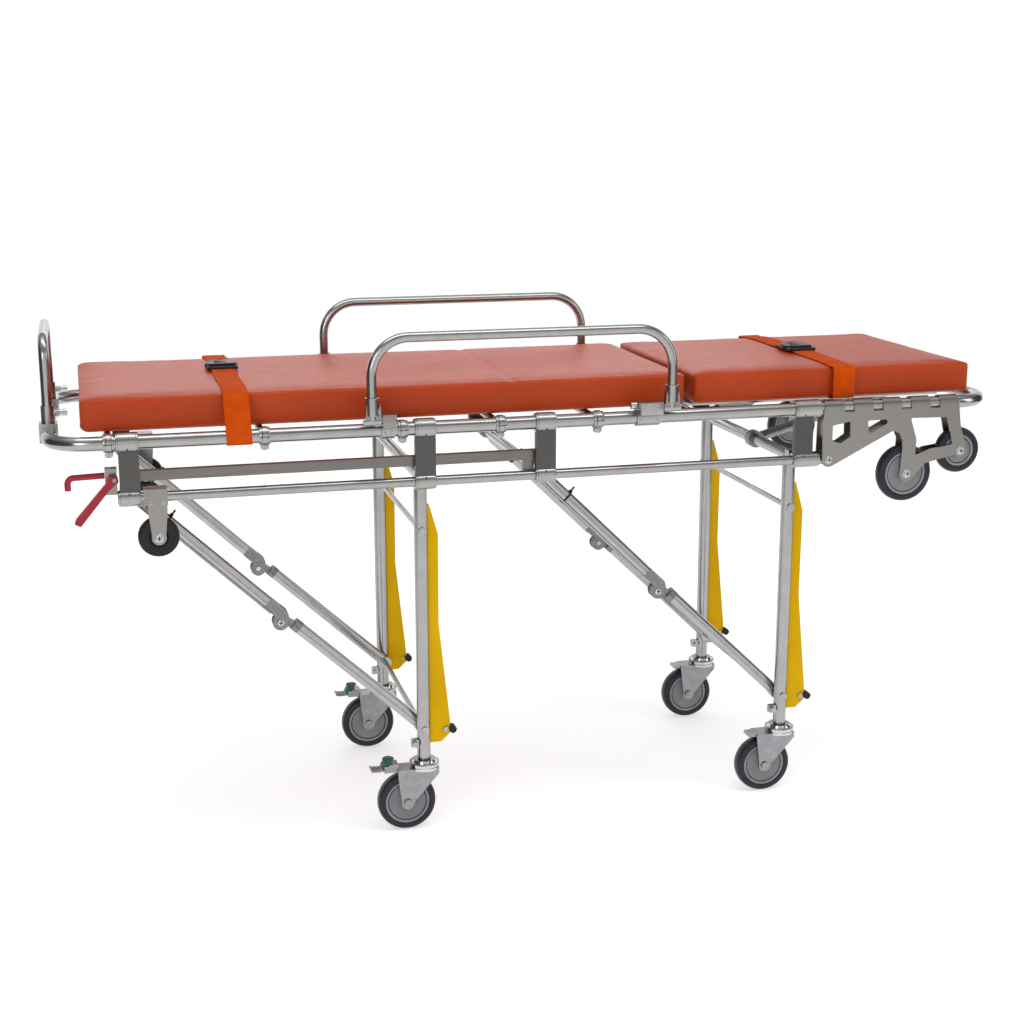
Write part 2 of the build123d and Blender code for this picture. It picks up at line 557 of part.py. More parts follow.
for set_name, leg_x in LEG_SETS.items():
    for name, side in SIDES.items():
        axis_y, wheel_x, wheel_z = side * LEG_Y, leg_x - CASTOR_TRAIL, CASTOR_D / 2
        with BuildPart() as fork:
            bar_z(leg_x, axis_y, (CROWN_Z[0], 147), RACE_R)
            bar_z(leg_x, axis_y, (146, 153), RACE_R - 8)
            bar_z(leg_x, axis_y, (150, 212), LEG_R - WALL - FIT)
            block((leg_x - 60, leg_x + 28), (axis_y - 22, axis_y + 22), CROWN_Z)
            for cheek_y in (axis_y - FORK_IN - FORK_SIDE_T, axis_y + FORK_IN):
                with BuildSketch(Plane.XZ.offset(-cheek_y - FORK_SIDE_T)) as cheek:
                    Polygon((leg_x - 60, CROWN_Z[1]), (leg_x + 28, CROWN_Z[1]), (leg_x + 28, 124),
                            (wheel_x + 13, wheel_z), (wheel_x - 13, wheel_z), (leg_x - 60, 118),
                            align=None)
                    with Locations((wheel_x, wheel_z)):
                        Circle(14)
                extrude(cheek.sketch, amount=FORK_SIDE_T)
            bar_y(wheel_x, (axis_y - 26, axis_y + 26), wheel_z, AXLE_R)
            for head_y in ((axis_y - 27, axis_y - 22), (axis_y + 22, axis_y + 27)):
                bar_y(wheel_x, head_y, wheel_z, 9)
            bar_z(leg_x, axis_y, (152, 156), LEG_R - WALL - FIT)
            if set_name == "foot":
                block((leg_x - 77.5, leg_x - 58), (axis_y - 14, axis_y + 14), (CROWN_Z[0], 149))
                bar_y(leg_x - 84, (axis_y - 13, axis_y + 13), 141, 3)
                for ear_y in ((axis_y - 14, axis_y - 10), (axis_y + 10, axis_y + 14)):
                    block((leg_x - 88, leg_x - 77), ear_y, (CROWN_Z[0], 146))
            else:
                block((leg_x - 78, leg_x - 58), (axis_y - 16, axis_y + 16), CROWN_Z)
        fork.part.label = f"{set_name}_castor_fork_{name}"
        export_step(fork.part, f"parts/{set_name}_castor_fork_{name}.step")

        castor_wheel = wheel(wheel_x, axis_y, wheel_z, CASTOR_D, CASTOR_W, AXLE_R + FIT)
        castor_wheel.part.label = f"{set_name}_castor_wheel_{name}"
        export_step(castor_wheel.part, f"parts/{set_name}_castor_wheel_{name}.step")

for name, side in SIDES.items():
    leg_x, axis_y = LEG_SETS["foot"], side * LEG_Y
    with BuildPart() as brake_pedal:
        bar_y(leg_x - 84, (axis_y - 9.5, axis_y + 9.5), 141, 6)
        block((leg_x - 117, leg_x - 86), (axis_y - 12, axis_y + 12), (135, 140))
        block((leg_x - 89, leg_x - 85), (axis_y - 9, axis_y + 9), (138, 162))
        block((leg_x - 93, leg_x - 79), (axis_y - 15, axis_y - 9.7), (130, 150), CUT)
        block((leg_x - 93, leg_x - 79), (axis_y + 9.7, axis_y + 15), (130, 150), CUT)
        bar_y(leg_x - 84, (axis_y - 15, axis_y + 15), 141, 3 + FIT, CUT)
    brake_pedal.part.label = f"brake_pedal_{name}"
    export_step(brake_pedal.part, f"parts/brake_pedal_{name}.step")

# ---------------------------------------------------------------- loading and support wheels

for size, (x, z, diameter) in LOAD_WHEELS.items():
    for name, side in SIDES.items():
        load_wheel = wheel(x, side * RAIL_Y, z, diameter, LOAD_W, AXLE_R + FIT)
        load_wheel.part.label = f"loading_wheel_{size}_{name}"
        export_step(load_wheel.part, f"parts/loading_wheel_{size}_{name}.step")

for name, side in SIDES.items():
    support_wheel = wheel(SUPPORT_X, side * RAIL_Y, SUPPORT_Z, SUPPORT_D, SUPPORT_W, AXLE_R + FIT)
    support_wheel.part.label = f"support_wheel_{name}"
    export_step(support_wheel.part, f"parts/support_wheel_{name}.step")

# ---------------------------------------------------------------- fasteners of the bed frame

BOLT_OUT = LOAD_OUTER_Y + LOAD_PLATE_T
BOLT_IN = LOAD_INNER_Y

with BuildPart() as frame_fasteners:
    for x, z in ((791, 726), (917, 770)):
        bar_y(x, (-BOLT_OUT - 4, -BOLT_IN + 4), z, AXLE_R)
        bar_y(x, (-BOLT_OUT - 6, -BOLT_OUT), z, 9)
        bar_y(x, (-BOLT_IN, -BOLT_IN + 5), z, 9)
    bar_y(SUPPORT_X, (-FORK_OUTER_Y - FORK_T - 4, -FORK_INNER_Y + 4), SUPPORT_Z, AXLE_R)
    bar_y(SUPPORT_X, (-FORK_OUTER_Y - FORK_T - 5, -FORK_OUTER_Y - FORK_T), SUPPORT_Z, 10)
    bar_y(SUPPORT_X, (-FORK_INNER_Y, -FORK_INNER_Y + 4), SUPPORT_Z, 9)
    for x in (SUPPORT_X - 12, SUPPORT_X + 12):
        bar_y(x, (-FORK_OUTER_Y - FORK_T - 4, -FORK_OUTER_Y - FORK_T), 756, 4)
    bar_y(606, (-BOLT_OUT - 4, -BOLT_OUT), 766, 7)
    mirror(about=Plane.XZ)
frame_fasteners.part.label = "frame_fasteners"
export_step(frame_fasteners.part, "parts/frame_fasteners.step")
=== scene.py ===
import json
import math

import bmesh
import bpy
from mathutils import Matrix, Vector, noise
from mathutils.bvhtree import BVHTree


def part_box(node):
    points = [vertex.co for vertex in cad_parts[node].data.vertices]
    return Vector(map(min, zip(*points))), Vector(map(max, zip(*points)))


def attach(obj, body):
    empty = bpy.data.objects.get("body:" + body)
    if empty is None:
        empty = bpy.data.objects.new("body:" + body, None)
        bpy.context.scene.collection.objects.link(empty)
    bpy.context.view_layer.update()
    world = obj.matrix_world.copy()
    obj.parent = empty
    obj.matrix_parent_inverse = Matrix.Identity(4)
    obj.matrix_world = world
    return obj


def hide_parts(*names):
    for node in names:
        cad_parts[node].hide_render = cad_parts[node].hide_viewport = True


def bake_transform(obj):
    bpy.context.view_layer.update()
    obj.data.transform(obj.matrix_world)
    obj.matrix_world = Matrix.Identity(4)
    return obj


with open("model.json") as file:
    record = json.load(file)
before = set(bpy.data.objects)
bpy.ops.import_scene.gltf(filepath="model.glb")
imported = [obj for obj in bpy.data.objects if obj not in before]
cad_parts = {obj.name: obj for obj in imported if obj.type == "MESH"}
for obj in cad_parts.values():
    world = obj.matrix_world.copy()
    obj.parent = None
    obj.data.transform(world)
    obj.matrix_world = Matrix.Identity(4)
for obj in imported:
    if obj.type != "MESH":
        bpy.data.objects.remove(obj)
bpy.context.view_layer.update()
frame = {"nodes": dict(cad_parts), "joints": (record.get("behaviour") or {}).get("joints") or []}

# Stretcher trolley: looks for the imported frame. Metres, +X to the head end, -Y is the near side.

MM = 0.001
SIDES = {"near": -1, "far": 1}
SHARP_ANGLE = math.radians(38)
FLOOR_REACH = 90

# the camera: where it stands, its turn, tilt and roll in radians, and its lens
CAMERA_AT, LENS = (-0.9167, -3.4784, 1.4849), 58.04
CAMERA_YAW, CAMERA_PITCH, CAMERA_ROLL = 0.2549, 0.2366, -0.0019

# straps: the tape, and the radius of the bed rail that the foot strap goes round
TAPE_WIDTH, TAPE_THICK, RAIL_R = 50 * MM, 1.8 * MM, 14 * MM

# mattress cover
PAD_CORNER, PAD_EDGE, PAD_VOXEL = 13 * MM, 8 * MM, 8 * MM
PAD_PRESSURE, PAD_SWELL, CLOTH_FRAMES = 4, 5 * MM, 20
CREASE_FROM_FOOT, CREASE_DEPTH, CREASE_WIDTH = 862 * MM, 2.2 * MM, 9 * MM

# bed frame: height and reach of the rails, sleeve spans along X, and clamp ring places, the last two in mm
RAIL_Y, RAIL_Z, LOWER_Z = 295 * MM, 876 * MM, 767 * MM
HANGERS = ((-869.5, -826.5), (-289.5, -246.5), (-39.5, 3.5), (528.5, 588))
RINGS = (-882, -586, -313, -112, 94)
BRACE_Y, LEG_FOOT_Z = 214 * MM, 219 * MM

scene = bpy.context.scene
joints = {joint["name"]: joint for joint in frame["joints"]}


def pivot(joint):
    """Where a hinge's axis passes, in the row frame."""
    return Vector(joints[joint]["pos_m"])


def mm(*points):
    """Points given in millimetres, in metres."""
    return [tuple(value * MM for value in point) for point in points]


def middle(node):
    low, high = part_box(node)
    return (low + high) / 2


# ---------------------------------------------------------------- camera, light and floor

def aim_camera():
    """The camera stands near the foot end, at eye height, and looks slightly down at the middle."""
    data = bpy.data.cameras.new("camera")
    data.sensor_width, data.lens = 36, LENS
    camera = bpy.data.objects.new("camera", data)
    scene.collection.objects.link(camera)
    turn = Matrix.Rotation(-CAMERA_YAW, 4, "Z") @ Matrix.Rotation(math.pi / 2 - CAMERA_PITCH, 4, "X")
    camera.matrix_world = Matrix.Translation(CAMERA_AT) @ turn @ Matrix.Rotation(CAMERA_ROLL, 4, "Z")
    scene.camera = camera


def soft_light(name, place, target, size, power):
    data = bpy.data.lights.new(name, "AREA")
    data.shape, data.size, data.size_y = "RECTANGLE", size[0], size[1]
    data.energy = power
    light = bpy.data.objects.new(name, data)
    light.location = place
    light.rotation_euler = (Vector(target) - Vector(place)).to_track_quat("-Z", "Y").to_euler()
    scene.collection.objects.link(light)


def fill_ramp(node, stops):
    """Sets a colour ramp's stops from (place, colour) pairs."""
    elements = node.color_ramp.elements
    elements[0].position, elements[0].color = stops[0][0], (*stops[0][1], 1)
    elements[1].position, elements[1].color = stops[-1][0], (*stops[-1][1], 1)
    for place, colour in stops[1:-1]:
        elements.new(place).color = (*colour, 1)


def studio():
    """A white room: a bright horizon and top, with a darker band between them for the metal to show."""
    world = bpy.data.worlds.new("studio")
    scene.world = world
    world.use_nodes = True
    tree = world.node_tree
    tree.nodes.clear()
    coords = tree.nodes.new("ShaderNodeTexCoord")
    split = tree.nodes.new("ShaderNodeSeparateXYZ")
    ramp = tree.nodes.new("ShaderNodeValToRGB")
    shade = tree.nodes.new("ShaderNodeBackground")
    out = tree.nodes.new("ShaderNodeOutputWorld")
    stops = [(0.0, 0.9), (0.46, 1.0), (0.66, 1.0), (0.74, 0.42), (0.86, 0.3), (0.95, 0.9)]
    fill_ramp(ramp, [(place, (value, value, value * 1.01)) for place, value in stops])
    height = tree.nodes.new("ShaderNodeMapRange")
    height.inputs["From Min"].default_value = -1
    link = tree.links.new
    link(coords.outputs["Generated"], split.inputs[0])
    link(split.outputs["Z"], height.inputs["Value"])
    link(height.outputs["Result"], ramp.inputs["Fac"])
    link(ramp.outputs["Color"], shade.inputs["Color"])
    link(shade.outputs[0], out.inputs["Surface"])
    soft_light("overhead", (-0.2, -0.6, 3.2), (0, 0, 0.8), (3.2, 0.8), 24)
    soft_light("front_left", (-2.6, -3.4, 1.9), (-0.2, 0, 0.6), (1.6, 1.8), 22)
    soft_light("right", (3.0, -1.6, 1.5), (0.4, 0, 0.7), (1.0, 1.8), 14)
    soft_light("back", (0.4, 3.2, 2.2), (0, 0, 0.8), (3.0, 1.0), 10)
    scene.view_settings.view_transform = "Standard"


def dark_flags():
    """Two dark cards beside the set, seen only in reflections: they draw dark bands down the tubes."""
    mat = bpy.data.materials.new("flag")
    mat.use_nodes = True
    mat.node_tree.nodes["Principled BSDF"].inputs["Base Color"].default_value = (0.05, 0.05, 0.05, 1)
    for x, y_low, y_high in ((-3.2, -3.0, 1.8), (3.4, -4.5, 1.2)):
        mesh = bpy.data.meshes.new("flag")
        corners = [(x, y_low, 0), (x, y_high, 0), (x, y_high, 2.4), (x, y_low, 2.4)]
        mesh.from_pydata(corners, [], [(0, 1, 2, 3)])
        mesh.materials.append(mat)
        flag = bpy.data.objects.new("flag", mesh)
        scene.collection.objects.link(flag)
        flag.visible_camera = flag.visible_diffuse = flag.visible_shadow = False


def lay_floor():
    mesh = bpy.data.meshes.new("floor")
    corners = [(x * FLOOR_REACH, y * FLOOR_REACH, 0) for x, y in ((-1, -1), (1, -1), (1, 1), (-1, 1))]
    mesh.from_pydata(corners, [], [(0, 1, 2, 3)])
    floor = bpy.data.objects.new("floor", mesh)
    scene.collection.objects.link(floor)
    mat = bpy.data.materials.new("floor")
    mat.use_nodes = True
    shader = mat.node_tree.nodes["Principled BSDF"]
    shader.inputs["Base Color"].default_value = (0.8, 0.8, 0.8, 1)
    shader.inputs["Emission Color"].default_value = (1, 1, 1, 1)
    shader.inputs["Emission Strength"].default_value = 0.5
    shader.inputs["Roughness"].default_value = 0.7
    shader.inputs["Specular IOR Level"].default_value = 0.2
    mesh.materials.append(mat)


# ---------------------------------------------------------------- materials

class Paint:
    """A procedural material: a Principled shader whose colour, roughness and bump come from noises."""

    def __init__(self, name, metallic=0.0, roughness=0.5, specular=0.5, coat=0.0, coat_roughness=0.1):
        self.material = bpy.data.materials.new(name)
        self.material.use_nodes = True
        self.tree = self.material.node_tree
        self.shader = self.tree.nodes["Principled BSDF"]
        self.where = self.tree.nodes.new("ShaderNodeTexCoord").outputs["Object"]
        for socket, value in (("Metallic", metallic), ("Roughness", roughness), ("Coat Weight", coat),
                              ("Specular IOR Level", specular), ("Coat Roughness", coat_roughness)):
            self.shader.inputs[socket].default_value = value
        self.height = None

    def new(self, kind, **settings):
        node = self.tree.nodes.new(kind)
        for key, value in settings.items():
            setattr(node, key, value)
        return node

    def stretched(self, scale):
        node = self.new("ShaderNodeMapping")
        node.inputs["Scale"].default_value = scale
        self.tree.links.new(self.where, node.inputs["Vector"])
        return node.outputs["Vector"]

    def noise(self, scale, detail=3.0, stretch=(1, 1, 1)):
        node = self.new("ShaderNodeTexNoise")
        node.inputs["Scale"].default_value = scale
        node.inputs["Detail"].default_value = detail
        self.tree.links.new(self.stretched(stretch), node.inputs["Vector"])
        return node.outputs["Fac"]

    def cells(self, scale):
        node = self.new("ShaderNodeTexVoronoi")
        node.inputs["Scale"].default_value = scale
        self.tree.links.new(self.where, node.inputs["Vector"])
        return node.outputs["Distance"]

    def waves(self, scale, direction):
        node = self.new("ShaderNodeTexWave", bands_direction=direction)
        node.inputs["Scale"].default_value = scale
        self.tree.links.new(self.where, node.inputs["Vector"])
        return node.outputs["Fac"]

    def ramp(self, value, stops):
        node = self.new("ShaderNodeValToRGB")
        fill_ramp(node, stops)
        self.tree.links.new(value, node.inputs["Fac"])
        return node.outputs["Color"]

    def mix(self, factor, first, second, blend="MIX"):
        node = self.new("ShaderNodeMix", data_type="RGBA", blend_type=blend)
        node.inputs[0].default_value = factor
        self.tree.links.new(first, node.inputs[6])
        self.tree.links.new(second, node.inputs[7])
        return node.outputs[2]

    def colour(self, value):
        self.tree.links.new(value, self.shader.inputs["Base Color"])

    def roughness(self, value, low, high):
        node = self.new("ShaderNodeMapRange")
        node.inputs["To Min"].default_value = low
        node.inputs["To Max"].default_value = high
        self.tree.links.new(value, node.inputs["Value"])
        self.tree.links.new(node.outputs["Result"], self.shader.inputs["Roughness"])

    def bump(self, value, strength, depth=0.001):
        node = self.new("ShaderNodeBump")
        node.inputs["Strength"].default_value = strength
        node.inputs["Distance"].default_value = depth
        self.tree.links.new(value, node.inputs["Height"])
        if self.height:
            self.tree.links.new(self.height, node.inputs["Normal"])
        self.height = node.outputs["Normal"]
        self.tree.links.new(self.height, self.shader.inputs["Normal"])


def metal(name, dark, light, low, high, stretch=(1, 1, 1), grain=300, bump=0.04):
    """Bare or plated metal: fine grain along one direction, over slow blotches of handling marks."""
    paint = Paint(name, metallic=1.0)
    fine = paint.noise(grain, 2, stretch)
    slow = paint.noise(6, 3)
    base = paint.ramp(fine, [(0.3, dark), (0.7, light)])
    worn = paint.ramp(slow, [(0.35, tuple(0.86 * c for c in light)), (0.65, light)])
    paint.colour(paint.mix(0.35, base, worn, "MULTIPLY"))
    paint.roughness(paint.mix(0.5, fine, slow), low, high)
    paint.bump(fine, bump, 0.0004)
    return paint.material


def plastic(name, dark, light, low, high, bump=0.15, grain=900, coat=0.0):
    """Moulded plastic or rubber: a fine eggshell grain with slightly uneven colour."""
    paint = Paint(name, specular=0.3, coat=coat)
    paint.colour(paint.ramp(paint.noise(25, 4), [(0.3, dark), (0.7, light)]))
    fine = paint.noise(grain, 2)
    paint.roughness(paint.noise(60, 3), low, high)
    paint.bump(fine, bump, 0.0003)
    return paint.material


def vinyl():
    """Coated fabric: fine pebble grain and a soft gloss."""
    paint = Paint("vinyl", specular=0.2, coat=0.03, coat_roughness=0.18)
    slow = paint.noise(5, 3)
    paint.colour(paint.ramp(slow, [(0.3, (0.38, 0.039, 0.003)), (0.7, (0.44, 0.048, 0.005))]))
    paint.roughness(paint.noise(30, 4), 0.34, 0.46)
    paint.bump(paint.cells(1500), 0.08, 0.0003)
    paint.bump(paint.noise(45, 3, (1, 1, 2)), 0.06, 0.002)
    return paint.material


def webbing():
    """Woven orange tape: ribs across its length, thread rows along it."""
    paint = Paint("webbing", roughness=0.75, specular=0.05)
    across = paint.waves(260, "X")
    along = paint.mix(0.5, paint.waves(330, "Y"), paint.waves(330, "Z"))
    weave = paint.mix(0.5, across, along, "MULTIPLY")
    tint = paint.ramp(paint.noise(40, 3), [(0.3, (0.56, 0.062, 0.002)), (0.7, (0.66, 0.085, 0.003))])
    paint.colour(paint.mix(0.25, tint, weave, "MULTIPLY"))
    paint.bump(weave, 0.35, 0.0005)
    return paint.material


def guard_paint():
    paint = Paint("guard_yellow", specular=0.07)
    paint.colour(paint.ramp(paint.noise(4, 3), [(0.35, (0.58, 0.33, 0.0)), (0.65, (0.66, 0.39, 0.001))]))
    paint.roughness(paint.noise(40, 3), 0.3, 0.42)
    paint.bump(paint.noise(500, 3), 0.08, 0.0004)
    return paint.material


# name: material name, dark and light colour, lowest and highest roughness, then other settings
METALS = {
    "tube": ("satin_tube", (0.43, 0.427, 0.42), (0.48, 0.476, 0.468), 0.16, 0.22, dict(grain=40, bump=0.004)),
    "sleeve": ("machined_sleeve", (0.4, 0.398, 0.392), (0.5, 0.498, 0.492), 0.22, 0.3,
               dict(stretch=(14, 1, 1), grain=70, bump=0.03)),
    "bolt": ("plated_bolt", (0.4, 0.4, 0.405), (0.52, 0.52, 0.525), 0.2, 0.32, dict(grain=120)),
    "web": ("grey_web", (0.135, 0.13, 0.125), (0.15, 0.145, 0.14), 0.36, 0.4,
            dict(stretch=(1, 1, 5), grain=150, bump=0.004)),
    "plate": ("brushed_plate", (0.35, 0.335, 0.318), (0.365, 0.35, 0.333), 0.26, 0.29,
              dict(stretch=(1, 1, 4), grain=140, bump=0.002)),
    "bar": ("pull_bar_steel", (0.22, 0.2, 0.182), (0.29, 0.27, 0.252), 0.28, 0.36,
            dict(stretch=(0.05, 5, 5), grain=160, bump=0.03)),
    "fork": ("zinc_fork", (0.32, 0.328, 0.34), (0.42, 0.428, 0.44), 0.2, 0.32, dict(grain=45, bump=0.02)),
    "bright": ("bright_screw", (0.5, 0.5, 0.5), (0.66, 0.66, 0.66), 0.14, 0.24, dict(grain=200)),
    "chrome": ("chrome_race", (0.6, 0.6, 0.6), (0.7, 0.7, 0.7), 0.05, 0.12, dict(grain=80, bump=0.01)),
    "cast": ("cast_knuckle", (0.24, 0.236, 0.23), (0.33, 0.325, 0.318), 0.3, 0.44, dict(grain=220, bump=0.2)),
    "brace": ("brace_profile", (0.46, 0.455, 0.446), (0.52, 0.514, 0.505), 0.16, 0.22,
              dict(grain=40, bump=0.006)),
    "pedal": ("grey_pedal", (0.26, 0.25, 0.24), (0.36, 0.35, 0.34), 0.34, 0.5, dict(grain=100)),
    "strut": ("strut_sleeve", (0.26, 0.25, 0.245), (0.34, 0.33, 0.32), 0.25, 0.36, dict(grain=60, bump=0.02)),
}
PLASTICS = {
    "tread": ("navy_tread", (0.009, 0.01, 0.017), (0.016, 0.018, 0.028), 0.25, 0.4, dict(bump=0.05)),
    "hub": ("grey_hub", (0.15, 0.15, 0.157), (0.2, 0.2, 0.207), 0.42, 0.55, dict(grain=500)),
    "rim": ("grey_rim", (0.2, 0.2, 0.21), (0.26, 0.26, 0.27), 0.3, 0.4, dict(bump=0.1)),
    "rubber": ("black_rubber", (0.006, 0.006, 0.006), (0.014, 0.013, 0.013), 0.5, 0.7,
               dict(bump=0.3, grain=500)),
    "black": ("black_plastic", (0.006, 0.006, 0.007), (0.014, 0.014, 0.015), 0.28, 0.42, dict(bump=0.1)),
    "red": ("red_grip", (0.24, 0.0, 0.012), (0.33, 0.002, 0.02), 0.24, 0.36,
            dict(bump=0.08, grain=400, coat=0.3)),
    "green": ("green_tab", (0.012, 0.075, 0.055), (0.02, 0.11, 0.08), 0.4, 0.52, {}),
    "deck": ("deck_panel", (0.24, 0.03, 0.007), (0.3, 0.038, 0.009), 0.45, 0.6, {}),
    # the near-black "dark" material is painted shade in screw cross recesses, sunk screw rims and the wheel
    # groove; it also draws the real parting slits of the clamp rings
    "dark": ("dark_hole", (0.004, 0.004, 0.004), (0.008, 0.008, 0.008), 0.6, 0.8, {}),
}


def make_materials():
    mats = {key: metal(*row[:-1], **row[-1]) for key, row in METALS.items()}
    mats.update({key: plastic(*row[:-1], **row[-1]) for key, row in PLASTICS.items()})
    mats["vinyl"], mats["webbing"], mats["guard"] = vinyl(), webbing(), guard_paint()
    return mats


# ---------------------------------------------------------------- mesh making

def soften_edges(part, width, segments=2, angle=30):
    sharp = math.radians(angle)
    edges = [e for e in part.edges if len(e.link_faces) == 2 and e.calc_face_angle() > sharp]
    if width and edges:
        bmesh.ops.bevel(part, geom=edges, offset=width, segments=segments, profile=0.5,
                        affect="EDGES", clamp_overlap=True)
    return part


def block(low, high, soft=0.0, segments=2):
    part = bmesh.new()
    low, high = Vector(low), Vector(high)
    bmesh.ops.create_cube(part, size=1)
    for vert in part.verts:
        vert.co = Vector((low[i] + (vert.co[i] + 0.5) * (high[i] - low[i]) for i in range(3)))
    return soften_edges(part, soft, segments)


def basis(axis):
    """Two directions square to an axis, chosen the same way each time."""
    axis = Vector(axis).normalized()
    side = axis.cross(Vector((0, 0, 1)))
    if side.length < 0.1:
        side = Vector((0, 1, 0))
    side.normalize()
    return side, axis.cross(side), axis


def lathe(centre, axis, profile, steps=48, closed=False):
    """Turns (radius, distance along the axis) points about an axis. Points of radius 0 close the end."""
    part = bmesh.new()
    u, v, w = basis(axis)
    rings = []
    for radius, along in profile:
        here = Vector(centre) + w * along
        if radius == 0:
            rings.append([part.verts.new(here)] * steps)
            continue
        rings.append([part.verts.new(here + (u * math.cos(a) + v * math.sin(a)) * radius)
                      for a in (2 * math.pi * i / steps for i in range(steps))])
    pairs = list(zip(rings, rings[1:])) + ([(rings[-1], rings[0])] if closed else [])
    for first, second in pairs:
        for i in range(steps):
            corners = [first[i], first[(i + 1) % steps], second[(i + 1) % steps], second[i]]
            unique = list(dict.fromkeys(corners))
            if len(unique) > 2:
                part.faces.new(unique)
    return part


def rod(start, axis, radius, length, steps):
    """A plain round bar from a point along an axis."""
    return lathe(start, axis, [(0, 0), (radius, 0), (radius, length), (0, length)], steps)


def prism(outline, y_low, y_high, soft):
    """A flat piece: an outline of (x, z) points, given thickness along Y."""
    part = bmesh.new()
    front = [part.verts.new((x, y_low, z)) for x, z in outline]
    back = [part.verts.new((x, y_high, z)) for x, z in outline]
    part.faces.new(front)
    part.faces.new(list(reversed(back)))
    count = len(outline)
    for i in range(count):
        part.faces.new([front[i], front[(i + 1) % count], back[(i + 1) % count], back[i]])
    return soften_edges(part, soft)


def rounded(points, radius, steps=5):
    """An outline with every corner replaced by an arc of at most the given radius."""
    result = []
    count = len(points)
    for i in range(count):
        before, here, after = (Vector(points[(i + k) % count]) for k in (-1, 0, 1))
        a, b = (before - here), (after - here)
        reach = min(radius, a.length * 0.45, b.length * 0.45)
        start, end = here + a.normalized() * reach, here + b.normalized() * reach
        for k in range(steps + 1):
            t = k / steps
            result.append(tuple(start.lerp(here, t).lerp(here.lerp(end, t), t)))
    return result


def sweep(path, outline, up=(0, 0, 1)):
    """Carries a closed (side, up) outline along a path of points, with flat ends."""
    part = bmesh.new()
    rings = []
    for i, here in enumerate(path):
        ahead = (path[min(i + 1, len(path) - 1)] - path[max(i - 1, 0)]).normalized()
        side = ahead.cross(Vector(up)).normalized()
        top = side.cross(ahead).normalized()
        rings.append([part.verts.new(here + side * s + top * t) for s, t in outline])
    count = len(outline)
    for first, second in zip(rings, rings[1:]):
        for k in range(count):
            part.faces.new([first[k], first[(k + 1) % count], second[(k + 1) % count], second[k]])
    part.faces.new(list(reversed(rings[0])))
    part.faces.new(rings[-1])
    return part


def circle(radius, steps):
    return [(radius * math.cos(2 * math.pi * i / steps), radius * math.sin(2 * math.pi * i / steps))
            for i in range(steps)]


class Piece:
    """A visual piece in the making: shapes join it one by one, each in its own material."""

    def __init__(self, name):
        self.name = name
        self.whole = bmesh.new()
        self.materials = []

    def add(self, part, material):
        if material not in self.materials:
            self.materials.append(material)
        for face in part.faces:
            face.material_index = self.materials.index(material)
        bmesh.ops.recalc_face_normals(part, faces=part.faces)
        mesh = bpy.data.meshes.new("part")
        part.to_mesh(mesh)
        part.free()
        self.whole.from_mesh(mesh)
        bpy.data.meshes.remove(mesh)
        return self

    def done(self, body, slot, *nodes):
        mesh = bpy.data.meshes.new(self.name)
        self.whole.to_mesh(mesh)
        self.whole.free()
        for material in self.materials:
            mesh.materials.append(material)
        for face in mesh.polygons:
            face.use_smooth = True
        mesh.set_sharp_from_angle(angle=SHARP_ANGLE)
        obj = bpy.data.objects.new(self.name, mesh)
        scene.collection.objects.link(obj)
        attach(obj, body)
        if nodes:
            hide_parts(*nodes)
        return obj


def dome(radius, height):
    """Profile of a truss head, from its seat to its top."""
    steps = ((1, 0), (1, 0.25), (0.92, 0.6), (0.7, 0.88), (0.35, 1), (0, 1))
    return [(radius * out, height * up) for out, up in steps]


def screw(piece, place, axis, radius, height, mats, washer=0.0):
    """A truss head on an optional washer; its cross recess is two near-black bars through the top of the
    dome, painted shade standing in for the hollow.
    """
    place, axis = Vector(place), Vector(axis).normalized()
    if washer:
        piece.add(lathe(place, axis, [(0, 0), (washer, 0), (washer, 1.1 * MM),
                                      (washer - 0.4 * MM, 1.5 * MM), (0, 1.5 * MM)]), mats["bright"])
        place = place + axis * 1.4 * MM
    piece.add(lathe(place, axis, [(0, 0)] + dome(radius, height), 32), mats["bright"])
    u, v, _ = basis(axis)
    # two near-black bars through the dome's top: painted shade where the cross recess would be
    for long, short in ((u, v), (v, u)):
        part = bmesh.new()
        bmesh.ops.create_cube(part, size=1)
        for vert in part.verts:
            vert.co = (place + axis * (height * 0.75 + vert.co.z * height * 0.6)
                       + long * vert.co.x * radius * 1.05 + short * vert.co.y * radius * 0.26)
        piece.add(part, mats["dark"])


def hex_head(piece, place, axis, radius, height, material):
    part = lathe(place, axis, [(0, 0), (radius, 0), (radius, height * 0.8), (radius * 0.85, height),
                               (0, height)], 6)
    piece.add(soften_edges(part, 0.3 * MM, 1), material)


# ---------------------------------------------------------------- mattress pads

def pad_shape(name, x_low, x_high, z_low, z_high, half_y):
    """A rounded block with a dense even surface, ready for the cloth solver."""
    corners = [(x_low, -half_y), (x_high, -half_y), (x_high, half_y), (x_low, half_y)]
    outline = rounded(corners, PAD_CORNER, 8)
    part = bmesh.new()
    lower = [part.verts.new((x, y, z_low)) for x, y in outline]
    upper = [part.verts.new((x, y, z_high)) for x, y in outline]
    part.faces.new(list(reversed(lower)))
    part.faces.new(upper)
    for i in range(len(outline)):
        k = (i + 1) % len(outline)
        part.faces.new([lower[i], lower[k], upper[k], upper[i]])
    soften_edges(part, PAD_EDGE, 3, 60)
    bmesh.ops.recalc_face_normals(part, faces=part.faces)
    mesh = bpy.data.meshes.new(name)
    part.to_mesh(mesh)
    part.free()
    obj = bpy.data.objects.new(name, mesh)
    scene.collection.objects.link(obj)
    modifier = obj.modifiers.new("remesh", "REMESH")
    modifier.mode, modifier.voxel_size = "VOXEL", PAD_VOXEL
    bake_modifiers(obj)
    return obj


def bake_modifiers(obj):
    """Applies an object's modifiers to its mesh."""
    bpy.context.view_layer.update()
    graph = bpy.context.evaluated_depsgraph_get()
    mesh = bpy.data.meshes.new_from_object(obj.evaluated_get(graph))
    obj.modifiers.clear()
    old = obj.data
    obj.data = mesh
    bpy.data.meshes.remove(old)


